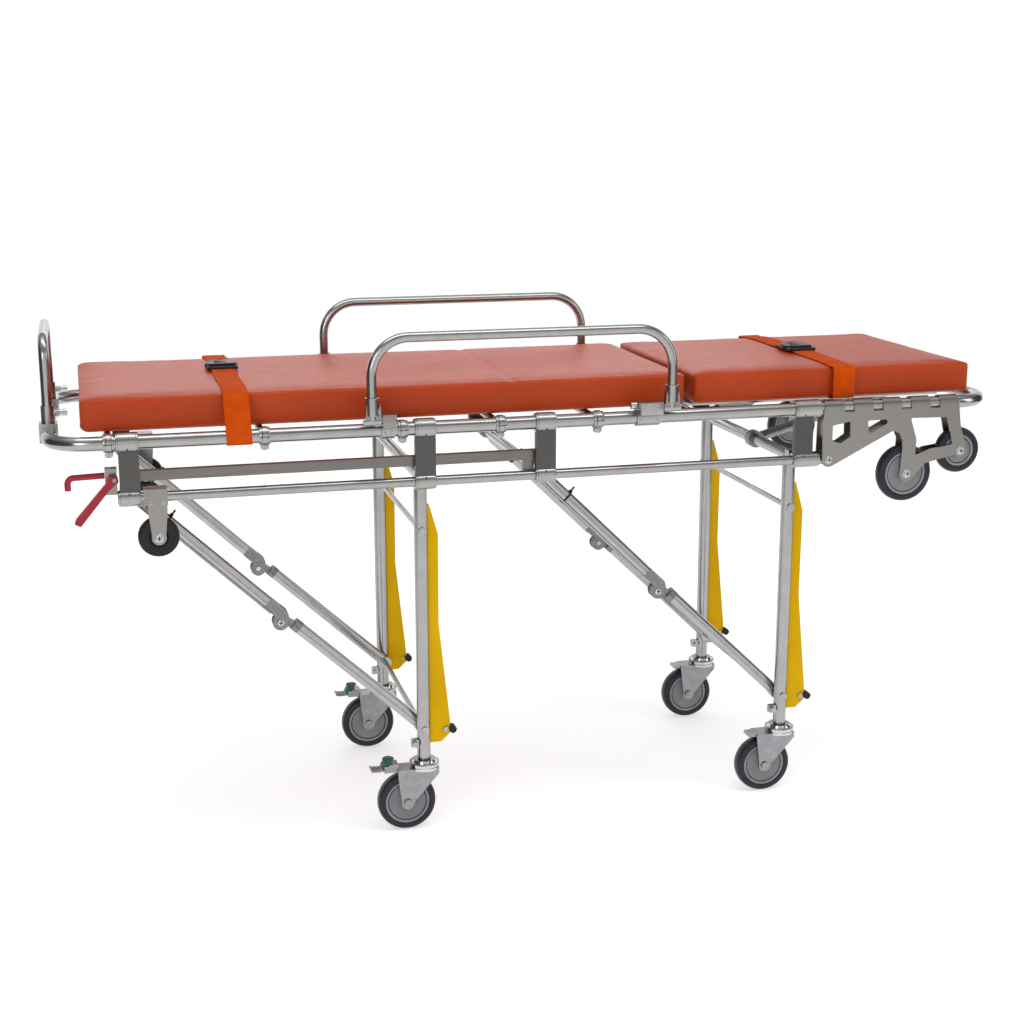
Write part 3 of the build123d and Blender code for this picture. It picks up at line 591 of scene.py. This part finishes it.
def inflate(obj):
    """Blows the cover up with the cloth solver, and keeps each point within a cap of where it was."""
    before = [v.co.copy() for v in obj.data.vertices]
    cloth = obj.modifiers.new("cloth", "CLOTH")
    for setting, value in (("quality", 4), ("mass", 0.3), ("tension_stiffness", 12),
                           ("compression_stiffness", 12), ("bending_stiffness", 0.4), ("use_pressure", True),
                           ("uniform_pressure_force", PAD_PRESSURE)):
        setattr(cloth.settings, setting, value)
    cloth.settings.effector_weights.gravity = 0
    cloth.collision_settings.use_collision = False
    for step in range(1, CLOTH_FRAMES + 1):
        scene.frame_set(step)
    graph = bpy.context.evaluated_depsgraph_get()
    moved = [v.co.copy() for v in obj.evaluated_get(graph).data.vertices]
    obj.modifiers.clear()
    scene.frame_set(1)
    for vert, start, end in zip(obj.data.vertices, before, moved):
        step = end - start
        if step.length > PAD_SWELL:
            step = step.normalized() * PAD_SWELL
        vert.co = start + step
    obj.data.update()


def fold_relief(point, normal, half_y, seed):
    """How far the cover stands in or out: puckers down the sides and slow waves all over."""
    side = 1 - abs(normal.z)
    along = point.x if abs(normal.y) > abs(normal.x) else point.y
    where = Vector((along * 26 + seed, point.z * 5, seed * 3.1))
    gather = 0.3 + max(0.0, noise.noise(Vector((along * 3, 0, seed))))
    pucker = max(0.0, noise.noise(where)) ** 1.6 * gather
    slow = noise.noise(Vector((point.x * 4, point.y * 5, seed)))
    edge = min(1.0, abs(point.y) / half_y) ** 6
    return side * (pucker * -7 + slow * 1.2 - edge * 0.3) * MM + (1 - side) * slow * 1.1 * MM


def mattress(mats):
    """Both pads. They meet over the backrest hinge."""
    hinge = pivot("backrest_tilt")
    gap = 5.5 * MM
    tops = {}
    for node, seed in (("foot_cushion", 3.1), ("head_cushion", 7.7)):
        low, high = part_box(node)
        start, end = low.x - 1 * MM, hinge.x - gap
        if node == "head_cushion":
            start, end = hinge.x + gap, high.x + 4 * MM
        half_y = high.y - 5 * MM
        obj = pad_shape(node + "_cover", start, end, low.z + 0.5 * MM, high.z - 3 * MM, half_y)
        inflate(obj)
        subdivide = obj.modifiers.new("subdivide", "SUBSURF")
        subdivide.levels = subdivide.render_levels = 1
        bake_modifiers(obj)
        mesh = obj.data
        normals = [v.normal.copy() for v in mesh.vertices]
        crease_x = low.x + CREASE_FROM_FOOT
        for vert, normal in zip(mesh.vertices, normals):
            out = fold_relief(vert.co, normal, half_y, seed)
            if node == "foot_cushion" and normal.z > 0.4:
                out -= CREASE_DEPTH * math.exp(-((vert.co.x - crease_x) / CREASE_WIDTH) ** 2)
            vert.co += normal * out
            vert.co.z = max(vert.co.z, low.z + 0.2 * MM)
        for face in mesh.polygons:
            face.use_smooth = True
        mesh.materials.append(mats["vinyl"])
        mesh.update()
        part = bmesh.new()
        part.from_mesh(mesh)
        tops[node] = BVHTree.FromBMesh(part)
        part.free()
        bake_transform(obj)
        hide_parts(node)
        seam(node, tops[node], start, end, half_y, low.z, mats)
    return tops


def seam(node, tree, start, end, half_y, z_low, mats):
    """The sewn edge low on the pad, a thin welt round the three sides away from the backrest hinge."""
    height = z_low + 9 * MM
    inner, outer = (end, start) if node == "foot_cushion" else (start, end)
    inner += math.copysign(20 * MM, outer - inner)
    bend = math.copysign(14 * MM, outer - inner)
    corners = [(inner, -half_y), (outer - bend, -half_y), (outer, -half_y + 14 * MM),
               (outer, half_y - 14 * MM), (outer - bend, half_y), (inner, half_y)]
    points = []
    for here, after in zip(corners, corners[1:]):
        here, after = Vector((*here, height)), Vector((*after, height))
        count = max(1, int((after - here).length / 0.02))
        points += [tree.find_nearest(here.lerp(after, k / count))[0] for k in range(count)]
    welt = Piece(node + "_welt").add(sweep(points, circle(1.3 * MM, 8)), mats["vinyl"])
    welt.done("frame" if node == "foot_cushion" else "backrest", "vinyl")


# ---------------------------------------------------------------- straps

def surface_height(tree, x, y, default):
    hit = tree.ray_cast(Vector((x, y, 2)), Vector((0, 0, -1)), 2)[0]
    return hit.z if hit is not None else default


def tape(path, x):
    """A woven tape: a flat band along a (y, z) path, its two edges slightly rounded."""
    half, thin = TAPE_WIDTH / 2, TAPE_THICK / 2
    outline = [(-half, 0), (-half + thin, thin), (-half * 0.5, thin), (0, thin), (half * 0.5, thin),
               (half - thin, thin), (half, 0), (half - thin, -thin), (0, -thin), (-half + thin, -thin)]
    part = bmesh.new()
    rings = []
    for i, (y, z) in enumerate(path):
        y0, z0 = path[max(i - 1, 0)]
        y1, z1 = path[min(i + 1, len(path) - 1)]
        ahead = Vector((0, y1 - y0, z1 - z0)).normalized()
        out = Vector((0, ahead.z, -ahead.y))
        wander = 0.6 * MM * math.sin(i * 0.35)
        rings.append([part.verts.new(Vector((x + wander + s, y, z)) + out * t) for s, t in outline])
    for first, second in zip(rings, rings[1:]):
        for k in range(len(outline)):
            n = (k + 1) % len(outline)
            part.faces.new([first[k], first[n], second[n], second[k]])
    part.faces.new(list(reversed(rings[0])))
    part.faces.new(rings[-1])
    return part


def strap(node, body, tree, buckle_y, around_rail, mats):
    """Tape over the pad, down both sides and round the bed rail, with a side-release buckle on top."""
    low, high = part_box(node)
    x = (low.x + high.x) / 2
    clear, raised = 2 * MM, 6 * MM
    pad_low, pad_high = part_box("foot_cushion")
    edge, top = pad_high.y, pad_high.z
    rail = middle("main_frame_tube")
    rail_y, rail_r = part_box("main_frame_tube")[1].y - RAIL_R, RAIL_R + TAPE_THICK * 0.7
    path = []
    if around_rail:
        path += [(-rail_y + rail_r * math.cos(a), rail.z + rail_r * math.sin(a))
                 for a in (math.radians(-40 - 12.4 * k) for k in range(15))]
        path += [(-edge - 5 * MM, top - 9 * MM), (-edge - 2 * MM, top - 2 * MM)]
    else:
        path += [(-edge + 26 * MM, pad_low.z - 1.2 * MM), (-edge + 10 * MM, pad_low.z - 1.2 * MM),
                 (-edge - 2 * MM, pad_low.z + 2 * MM), (-edge - 3 * MM, pad_low.z + 9 * MM)]
        path += [(-edge - 3.5 * MM, top - 12 * MM), (-edge - 1.5 * MM, top - 4 * MM)]
    path += [(-edge + 5 * MM, top + 1.5 * MM)]
    steps = 46
    for k in range(1, steps):
        y = -edge + 12 * MM + (2 * edge - 24 * MM) * k / steps
        lift = raised * math.exp(-((y - buckle_y) / (42 * MM)) ** 2)
        height = max(surface_height(tree, x + dx, y, top) for dx in (-20 * MM, 0, 20 * MM))
        path.append((y, height + clear + lift))
    near = path[:-(steps - 1)]
    path += [(-y, z) for y, z in reversed(near)]
    piece = Piece(node + "_webbing")
    piece.add(tape(path, x), mats["webbing"])
    piece.done(body, "webbing", node)
    height = surface_height(tree, x, buckle_y, top) + clear + raised
    buckle(node, body, x, buckle_y, height, mats)


def buckle(node, body, x, y, z, mats):
    """A side-release buckle: an arched socket with its two side tabs, the side arms and the two tape bars."""
    piece = Piece(node + "_buckle")
    half = TAPE_WIDTH / 2 + 6.5 * MM
    black = mats["black"]
    crown = [(y - 30 * MM, half * 0.82), (y - 20 * MM, half), (y + 8 * MM, half), (y + 16 * MM, half * 0.8),
             (y + 20 * MM, half * 0.4), (y + 21 * MM, 0)]
    ring = [(x - s, yy) for yy, s in crown] + [(x + s, yy) for yy, s in reversed(crown[:-1])]
    part = bmesh.new()
    lower = [part.verts.new((px, py, z - 5 * MM)) for px, py in ring]
    arch = [z + (5.5 + 4 * math.cos((px - x) / half * 1.4)) * MM for px, py in ring]
    upper = [part.verts.new((px, py, top)) for (px, py), top in zip(ring, arch)]
    part.faces.new(list(reversed(lower)))
    part.faces.new(upper)
    for i in range(len(ring)):
        k = (i + 1) % len(ring)
        part.faces.new([lower[i], lower[k], upper[k], upper[i]])
    piece.add(soften_edges(part, 1.8 * MM, 3, 25), black)

    def slab(middle_x, half_x, y_low, y_high, z_low, z_high, soft, segments=3):
        """Adds a block. The first value is in metres; the rest are in mm from the buckle's middle."""
        low = (middle_x - half_x * MM, y + y_low * MM, z + z_low * MM)
        high = (middle_x + half_x * MM, y + y_high * MM, z + z_high * MM)
        piece.add(block(low, high, soft * MM, segments), black)

    for side in SIDES.values():
        slab(x + side * half * 0.98 - 0.5 * MM, 3.5, -12, 12, -3.6, 3.6, 2.2)
        slab(x + side * (half - 3 * MM), 3, -44, -26, -4.4, 3.5, 1.8)
        slab(x + side * (half - 3 * MM), 2.6, 16, 34, -4.4, 2.5, 1.8)
    slab(x, half / MM - 2, -45.2, -38.8, -3.8, 2.6, 1.6)
    slab(x, half / MM - 2, 28, 34, -3.8, 2.6, 1.6)
    for ridge in (-10, -4, 2, 8):
        slab(x, half / MM * 0.45, ridge - 0.8, ridge + 0.8, 6, 7.6, 0.5, 1)
    piece.done(body, "knob")


# ---------------------------------------------------------------- wheels

def wheel(name, node, body, slot, centre, mats, solid=False):
    """A wheel about Y: crowned tread, a pale rim ring, a recessed groove whose floor is near-black painted
    shade, and a flat hub with a bearing boss.
    """
    low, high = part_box(node)
    radius, half = (high.z - low.z) / 2, (high.y - low.y) / 2
    piece = Piece(name)
    axis = (0, 1, 0)
    bore = 6.2 * MM
    tread_depth = 15 * MM if not solid else radius * 0.55
    inner = radius - tread_depth
    wall = [(inner, half - 0.4 * MM), (inner + 1 * MM, half), (radius - 8 * MM, half),
            (radius - 4.2 * MM, half * 0.93), (radius - 2 * MM, half * 0.78)]
    crown = [(radius - 0.9 * MM, 0.55), (radius, 0.2), (radius, -0.2), (radius - 0.9 * MM, -0.55)]
    tread = wall + [(r, y * half) for r, y in crown] + [(r, -y) for r, y in reversed(wall)]
    tread += [(inner, -half * 0.2), (inner, half * 0.2)]
    piece.add(lathe(centre, axis, tread, 96, True), mats["rubber" if solid else "tread"])
    rim = inner - (5.5 * MM if not solid else 1 * MM)
    face = half - 1.6 * MM
    rim_profile = [(inner + 0.2 * MM, -face + 1 * MM), (inner + 0.2 * MM, face - 1 * MM),
                   (inner - 0.6 * MM, face), (rim + 0.6 * MM, face), (rim, face - 0.8 * MM),
                   (rim, -face + 0.8 * MM), (rim + 0.6 * MM, -face), (inner - 0.6 * MM, -face)]
    piece.add(lathe(centre, axis, rim_profile, 96, True), mats["rubber" if solid else "rim"])
    # the groove's floor is near-black: painted shade in the recess
    groove = rim - 1.8 * MM
    groove_profile = [(rim + 0.2 * MM, face - 3.2 * MM), (groove - 0.5 * MM, face - 3.2 * MM),
                      (groove - 0.5 * MM, -face + 3.2 * MM), (rim + 0.2 * MM, -face + 3.2 * MM)]
    piece.add(lathe(centre, axis, groove_profile, 96, True), mats["dark"])
    boss = 13 * MM
    disc = [(groove, -face + 2 * MM), (groove, face - 2 * MM), (groove - 0.8 * MM, face - 1.2 * MM),
            (boss + 4 * MM, face - 1.4 * MM), (boss, face - 0.4 * MM), (boss - 1 * MM, half - 0.4 * MM),
            (bore, half - 0.4 * MM)]
    disc += [(r, -y) for r, y in reversed(disc)]
    piece.add(lathe(centre, axis, disc, 96, True), mats["rubber" if solid else "hub"])
    piece.done(body, slot, node)


def all_wheels(mats):
    for leg in ("foot", "head"):
        for name in SIDES:
            node = f"{leg}_castor_wheel_{name}"
            wheel(f"{leg}_castor_tyre_{name}", node, node, "wheel", pivot(f"{leg}_castor_{name}_roll"), mats)
    for size in ("large", "small"):
        for name in SIDES:
            node = f"loading_wheel_{size}_{name}"
            wheel(f"loading_tyre_{size}_{name}", node, node, "wheel",
                  pivot(f"loading_{size}_{name}_roll"), mats)
    for name in SIDES:
        node = f"support_wheel_{name}"
        wheel(f"support_tyre_{name}", node, node, "support_wheel", pivot(f"support_{name}_roll"), mats, True)


# ---------------------------------------------------------------- sleeves, rings and screws of the bed frame

def sleeve(piece, x_low, x_high, y, z, bore, outer, material):
    """A turned sleeve along X with chamfered ends and a shallow step at each end."""
    chamfer, lip = 0.9 * MM, 1.0 * MM
    profile = [(bore, 0), (outer - chamfer - lip, 0), (outer - lip, chamfer), (outer - lip, 4 * MM),
               (outer, 4.6 * MM)]
    length = x_high - x_low
    profile += [(r, length - a) for r, a in reversed(profile)]
    piece.add(lathe((x_low, y, z), (1, 0, 0), profile, 64, True), material)


def clamp_ring(piece, x, y, mats):
    """A two-part ring: a raised middle band, a flat foot beneath and its bolt."""
    half, outer = 10.5 * MM, 18.8 * MM
    bore = 14.1 * MM
    profile = [(bore, -half), (outer - 2.2 * MM, -half), (outer - 1.6 * MM, -half + 0.8 * MM),
               (outer - 1.6 * MM, -half * 0.55), (outer, -half * 0.45)]
    profile += [(r, -a) for r, a in reversed(profile)]
    piece.add(lathe((x, y, RAIL_Z), (1, 0, 0), profile, 64, True), mats["sleeve"])
    foot_low = RAIL_Z - 26 * MM
    piece.add(block((x - 8 * MM, y - 6 * MM, foot_low), (x + 8 * MM, y + 6 * MM, RAIL_Z - 17 * MM), 1.2 * MM),
              mats["sleeve"])
    hex_head(piece, (x, y, foot_low + 0.5 * MM), (0, 0, -1), 5 * MM, 2.4 * MM, mats["bright"])
    for side in SIDES.values():
        piece.add(block((x - half * 0.9, y + side * outer - 1 * MM, RAIL_Z - 0.5 * MM),
                        (x + half * 0.9, y + side * outer + 0.2 * MM, RAIL_Z + 0.5 * MM)), mats["dark"])


def dot(piece, place, axis, radius, edge, core):
    """A small countersunk screw or plug: a sunk rim in one material and a low centre in another."""
    place, axis = Vector(place), Vector(axis).normalized()
    rim = [(0, -0.3 * MM), (radius, -0.3 * MM), (radius, 0.25 * MM), (radius * 0.75, 0.35 * MM),
           (radius * 0.6, 0.1 * MM), (0, 0.1 * MM)]
    cap = [(0, 0.05 * MM), (radius * 0.5, 0.05 * MM), (radius * 0.4, 0.3 * MM), (0, 0.4 * MM)]
    piece.add(lathe(place, axis, rim, 20), edge)
    piece.add(lathe(place, axis, cap, 12), core)


def frame_sleeves(mats):
    piece = Piece("sleeve_set")
    dots = Piece("sleeve_screws")
    tilt = math.radians(35)
    for side in SIDES.values():
        y = side * RAIL_Y
        for low, high in HANGERS:
            low, high = low * MM, high * MM
            sleeve(piece, low, high, y, RAIL_Z, 14.1 * MM, 20 * MM, mats["sleeve"])
            sleeve(piece, low, high, y, LOWER_Z, 10.1 * MM, 16.5 * MM, mats["sleeve"])
            place_x = low + 21.5 * MM
            for z, outer in ((RAIL_Z, 20 * MM), (LOWER_Z, 16.5 * MM)):
                out = Vector((0, side * math.cos(tilt), -math.sin(tilt) if z == RAIL_Z else math.sin(tilt)))
                # each set screw's sunk rim is near-black: painted shade in its countersink
                dot(dots, Vector((place_x, y, z)) + out * outer, out, 2.3 * MM, mats["dark"], mats["bolt"])
            web_face = side * 306 * MM
            dot(dots, (place_x, web_face, 819 * MM), (0, side, 0), 3.5 * MM, mats["web"], mats["web"])
        for x in RINGS:
            clamp_ring(piece, x * MM, y, mats)
    piece.done("frame", "sleeve", "rail_sleeves")
    dots.done("frame", "steel")


def frame_screws(mats):
    """Axle bolts of the loading and support wheels, and the small screws of the clamps."""
    piece = Piece("frame_bolts")
    for joint, radius, outer, inner in (("loading_large_near_roll", 7, 312.1, 277.9),
                                        ("loading_small_near_roll", 7, 312.1, 277.9),
                                        ("support_near_roll", 8, 313.6, 276.4)):
        place = pivot(joint)
        for side in SIDES.values():
            head, nut = (Vector((place.x, side * y * MM, place.z)) for y in (outer, inner))
            screw(piece, head, (0, side, 0), radius * MM, 3.2 * MM, mats, 9.5 * MM)
            hex_head(piece, nut, (0, -side, 0), 8 * MM, 4.5 * MM, mats["bright"])
            piece.add(rod(nut, (0, side, 0), 6 * MM, (outer - inner) * MM, 32), mats["bright"])
    for side in SIDES.values():
        screw(piece, (606 * MM, side * 312.1 * MM, 766 * MM), (0, side, 0), 6 * MM, 3 * MM, mats, 8.5 * MM)
        for x in (-809 * MM, -785 * MM):
            screw(piece, (x, side * 313.6 * MM, 758 * MM), (0, side, 0), 4 * MM, 2 * MM, mats)
    piece.done("frame", "steel", "frame_fasteners")


# ---------------------------------------------------------------- braces

# the cast knee halves, in mm along the brace and square to it, from the knee pin
CHEEK = [(-48, 26), (-4, 26), (14, 14), (0, 0), (-19.5, 2), (-48, 2)]
TONGUE = [(-2, 15), (40, 22), (40, 3), (19.5, 3), (2, -15)]
ACROSS = Vector((0, 1, 0))


def brace_outline(grow=1.0):
    """Section of the brace profile: flat sides, round ends and a shallow groove along each side."""
    w, d, groove = 11 * MM * grow, 12.5 * MM * grow, 1.6 * MM * grow
    half = [(w * 0.5, -d * 0.97), (w * 0.86, -d * 0.78), (w, -d * 0.45), (w, -d * 0.16),
            (w - groove, -d * 0.08), (w - groove, d * 0.08), (w, d * 0.16), (w, d * 0.45),
            (w * 0.86, d * 0.78), (w * 0.5, d * 0.97)]
    return half + [(0, d)] + [(-x, y) for x, y in reversed(half)] + [(0, -d)]


def knuckle(piece, knee, line, up, y_low, y_high, outline, lobe, material):
    """A cast joint half: a round lobe on the pin, and the arm that runs into the end of the tube."""
    corners = rounded([tuple((knee + line * a * MM + up * b * MM).xz) for a, b in outline], 3 * MM, 3)
    piece.add(prism(corners, y_low, y_high, 0.8 * MM), material)
    edge, rim = 0.9 * MM, lobe - 0.9 * MM
    start, end = -0.3 * MM, y_high - y_low + 0.3 * MM
    profile = [(0, start), (rim, start), (lobe, start + edge), (lobe, end - edge), (rim, end), (0, end)]
    piece.add(lathe((knee.x, y_low, knee.z), (0, 1, 0), profile, 40), material)


def braces(mats):
    """Both folding braces of each leg set, in two pieces: the upper links and the lower links."""
    for leg in ("foot", "head"):
        anchor, knee, end = (pivot(f"{leg}_{name}") for name in ("brace_anchor", "brace_knee", "legs_fold"))
        end.z = LEG_FOOT_Z
        line = (end - anchor).normalized()
        up = Vector((-line.z, 0, line.x))
        upper, lower = Piece(f"{leg}_brace_upper_pair"), Piece(f"{leg}_brace_lower_pair")
        for side in SIDES.values():
            y = side * BRACE_Y
            top, turn, foot = (place + ACROSS * y for place in (anchor, knee, end))
            bend = turn + up * 14 * MM
            link = [top + line * 6 * MM, bend - line * 24 * MM]
            upper.add(sweep(link, brace_outline(), up), mats["brace"])
            eye = mm((10.1, 0), (16, 0), (17, 1), (17, 21), (16, 22), (10.1, 22))
            upper.add(lathe(top - ACROSS * 11 * MM, ACROSS, eye, 40, True), mats["cast"])
            for cheek in (-11.3, 7.0):
                y_low = y + cheek * MM
                knuckle(upper, knee, line, up, y_low, y_low + 4.3 * MM, CHEEK, 17 * MM, mats["cast"])
            knuckle(lower, knee, line, up, y - 6 * MM, y + 6 * MM, TONGUE, 15 * MM, mats["cast"])
            link = [bend + line * 28 * MM, foot - line * 4 * MM]
            lower.add(sweep(link, brace_outline(), up), mats["brace"])
            collar = [bend + line * 24 * MM, bend + line * 40 * MM]
            lower.add(sweep(collar, brace_outline(1.03), up), mats["cast"])
            boss = mm((0, 0), (14, 0), (15, 1), (15, 21), (14, 22), (0, 22))
            lower.add(lathe(foot - ACROSS * 11 * MM, ACROSS, boss, 40), mats["brace"])
            upper.add(rod(turn - ACROSS * 13 * MM, ACROSS, 5 * MM, 26 * MM, 24), mats["bright"])
            screw(upper, turn + ACROSS * side * 11.4 * MM, (0, side, 0), 8 * MM, 3.4 * MM, mats)
            for along, target in ((-58, upper), (58, lower)):
                place = bend + line * along * MM + ACROSS * side * 9.5 * MM - up * 3 * MM
                # each small screw's sunk rim is near-black: painted shade round its head
                dot(target, place, (0, side, 0), 2.2 * MM, mats["dark"], mats["bolt"])
            cable_and_tie(upper, top, bend, line, up, side, mats)
        lower.add(rod(end - ACROSS * 226 * MM, ACROSS, 6 * MM, 452 * MM, 32), mats["tube"])
        upper.done(f"{leg}_brace_upper", "brace", f"{leg}_brace_upper")
        lower.done(f"{leg}_brace_lower", "brace", f"{leg}_brace_lower")


def cable_and_tie(piece, top, bend, line, up, outward, mats):
    """The release cable under the upper link, held to it by a cable tie with its tail standing up."""
    under = ACROSS * outward * 11.8 * MM - up * 12.2 * MM
    start, end = top + under + line * 28 * MM, bend + under - line * 30 * MM
    path = [start.lerp(end, t) for t in (0, 0.35, 0.7, 1)]
    piece.add(sweep(path, circle(2.1 * MM, 10), ACROSS), mats["brace"])
    here = top + line * 96 * MM
    band = [(s, t - (3.6 * MM if t < -8 * MM else 0)) for s, t in brace_outline(1.09)]
    piece.add(sweep([here, here + line * 4.2 * MM], band, up), mats["black"])
    head = here + line * 2.1 * MM + up * 14 * MM
    lock = mm((-3.4, -2), (3.4, -2), (3.4, 2.6), (-3.4, 2.6))
    piece.add(sweep([head - line * 3.4 * MM, head + line * 3.4 * MM], lock, up), mats["black"])
    tail = [head + up * k * 4 * MM + ACROSS * k * k * 0.25 * MM for k in range(4)]
    piece.add(sweep(tail, mm((-0.6, -2), (0.6, -2), (0.6, 2), (-0.6, 2)), line), mats["black"])


# ---------------------------------------------------------------- castor brakes and rings

# the race's profile as radius and height above the floor, and the brake's outlines about its hinge, in mm
RACE = mm((27, 131.2), (30.6, 131.2), (31.9, 132.6), (31.9, 137.6), (30.4, 138.8), (31.9, 140),
          (31.9, 144.8), (30.4, 146.6), (26, 147.4), (24.4, 150.5), (23.8, 152.6), (22, 152.6))
CAM = ((-9, -6), (-9, 5), (-4, 11), (4, 16), (10, 17), (13, 14), (12, 9), (9, 5), (8, -3), (2, -7))
TREAD = ((-7, -5), (-12, -6.5), (-30, -6), (-33, -3), (-33, 1.5), (-30.5, 2), (-29, -1), (-12, -1.5), (-7, 1))


def castor_details(mats):
    """A pressed double ring under every stem, and a brake cam with its tread on each foot castor."""
    for leg in ("foot", "head"):
        for name in SIDES:
            centre = pivot(f"{leg}_castor_{name}_swivel")
            ring = Piece(f"{leg}_castor_race_{name}")
            ring.add(lathe((centre.x, centre.y, 0), (0, 0, 1), RACE, 64, True), mats["chrome"])
            ring.done(f"{leg}_castor_{name}", "castor_fork")
    for name in SIDES:
        hinge = pivot(f"brake_{name}_press")
        low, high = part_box(f"brake_pedal_{name}")
        cam_line, tread_line = ([(hinge.x + x * MM, hinge.z + z * MM) for x, z in line]
                                for line in (CAM, TREAD))
        cam = Piece(f"brake_cam_{name}")
        cam.add(prism(rounded(cam_line, 3 * MM, 4), low.y + 1 * MM, high.y - 1 * MM, 1.2 * MM), mats["green"])
        cap = mm((0, 0), (11, 0), (12.5, 1.2), (12.5, 3.2), (11, 4.4), (0, 4.8))
        cap_at = (hinge.x + 6 * MM, (low.y + high.y) / 2, hinge.z + 15.5 * MM)
        cam.add(lathe(cap_at, (0, 0, 1), cap, 40), mats["green"])
        cam.add(prism(rounded(tread_line, 2 * MM, 4), low.y, high.y, 0.9 * MM), mats["pedal"])
        for k in range(3):
            x = hinge.x - (14 + 5.5 * k) * MM
            cam.add(block((x - 1.1 * MM, low.y + 3 * MM, hinge.z - 1.8 * MM),
                          (x + 1.1 * MM, high.y - 3 * MM, hinge.z + 0.2 * MM), 0.5 * MM, 1), mats["pedal"])
        for side, y in ((-1, low.y), (1, high.y)):
            screw(cam, (hinge.x, y, hinge.z), (0, side, 0), 4.5 * MM, 1.8 * MM, mats)
        cam.done(f"brake_pedal_{name}", "pedal", f"brake_pedal_{name}")


def rail_collars(mats):
    """Flared cheeks and rings at the foot of each side rail leg, and the hinge blocks' faces and screws."""
    for name, side in SIDES.items():
        hinge = pivot(f"side_rail_{name}_fold")
        low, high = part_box(f"side_rail_{name}")
        piece = Piece(f"side_rail_collar_{name}")
        foot_leg = low.x + (20 if low.x < -0.39 else 10) * MM
        for x in (foot_leg, high.x - 18 * MM):
            for cheek in (-1, 1):
                flare = [(x + cheek * out * MM, hinge.z + z * MM)
                         for out, z in ((12.4, 34), (13.2, 34), (16.5, 4), (3, 4))]
                piece.add(prism(flare, hinge.y - 7.5 * MM, hinge.y + 7.5 * MM, 0.6 * MM), mats["plate"])
            ring = mm((12.6, -1.4), (13.6, -1.2), (13.6, 1.2), (12.6, 1.4))
            for z in (46.5, 13):
                piece.add(lathe((x, hinge.y, hinge.z + z * MM), (0, 0, 1), ring, 40, True), mats["sleeve"])
        piece.done(f"side_rail_{name}", "frame_tube")
        faces = Piece(f"hinge_block_faces_{name}")
        edge, tilt = side * 330 * MM, math.radians(14)
        low_y, high_y = sorted((edge - side * 0.5 * MM, edge + side * 1.2 * MM))
        out = Vector((0, side * math.cos(tilt), -math.sin(tilt)))
        for x_low, x_high, key in ((-357, -330, "plate"), (176, 225, "sleeve")):
            faces.add(block(((x_low + 0.6) * MM, low_y, 886 * MM), ((x_high - 0.6) * MM, high_y, 910 * MM),
                            0.7 * MM), mats[key])
            for x in (x_low + 7, x_high - 7):
                place = Vector((x * MM, side * RAIL_Y, RAIL_Z)) + out * 18 * MM
                screw(faces, place, out, 3.4 * MM, 1.6 * MM, mats)
        faces.done("frame", "sleeve")


# ---------------------------------------------------------------- materials on the carried-over CAD nodes

NODE_MATERIALS = {
    "tube": "main_frame_tube lower_rails cross_members push_bar side_rail_near side_rail_far foot_leg_frame "
            "head_leg_frame backrest_frame",
    "sleeve": "shaft_bearings push_bar_sockets side_rail_hinges",
    "plate": "loading_outer_plates loading_inner_plates support_wheel_forks handle_bracket",
    "fork": "foot_castor_fork_near foot_castor_fork_far head_castor_fork_near head_castor_fork_far",
    "bright": "push_bar_pin_near push_bar_pin_far side_rail_pin_near side_rail_pin_far",
    "guard": "foot_leg_guards head_leg_guards", "rubber": "foot_leg_bumpers head_leg_bumpers",
    "bolt": "foot_leg_fasteners head_leg_fasteners", "red": "grip_bar release_lever",
    "web": "hanger_webs", "deck": "bed_deck", "strut": "strut_cylinder", "chrome": "strut_rod",
    "bar": "pull_bar",
}


def paint_nodes(mats):
    for key, nodes in NODE_MATERIALS.items():
        for node in nodes.split():
            slots = frame["nodes"][node].data.materials
            slots.clear()
            slots.append(mats[key])


# ---------------------------------------------------------------- build

aim_camera()
studio()
lay_floor()
dark_flags()
mats = make_materials()
paint_nodes(mats)
tops = mattress(mats)
strap("foot_strap", "frame", tops["foot_cushion"], 60 * MM, True, mats)
strap("head_strap", "backrest", tops["head_cushion"], -10 * MM, False, mats)
all_wheels(mats)
frame_sleeves(mats)
frame_screws(mats)
braces(mats)
castor_details(mats)
rail_collars(mats)
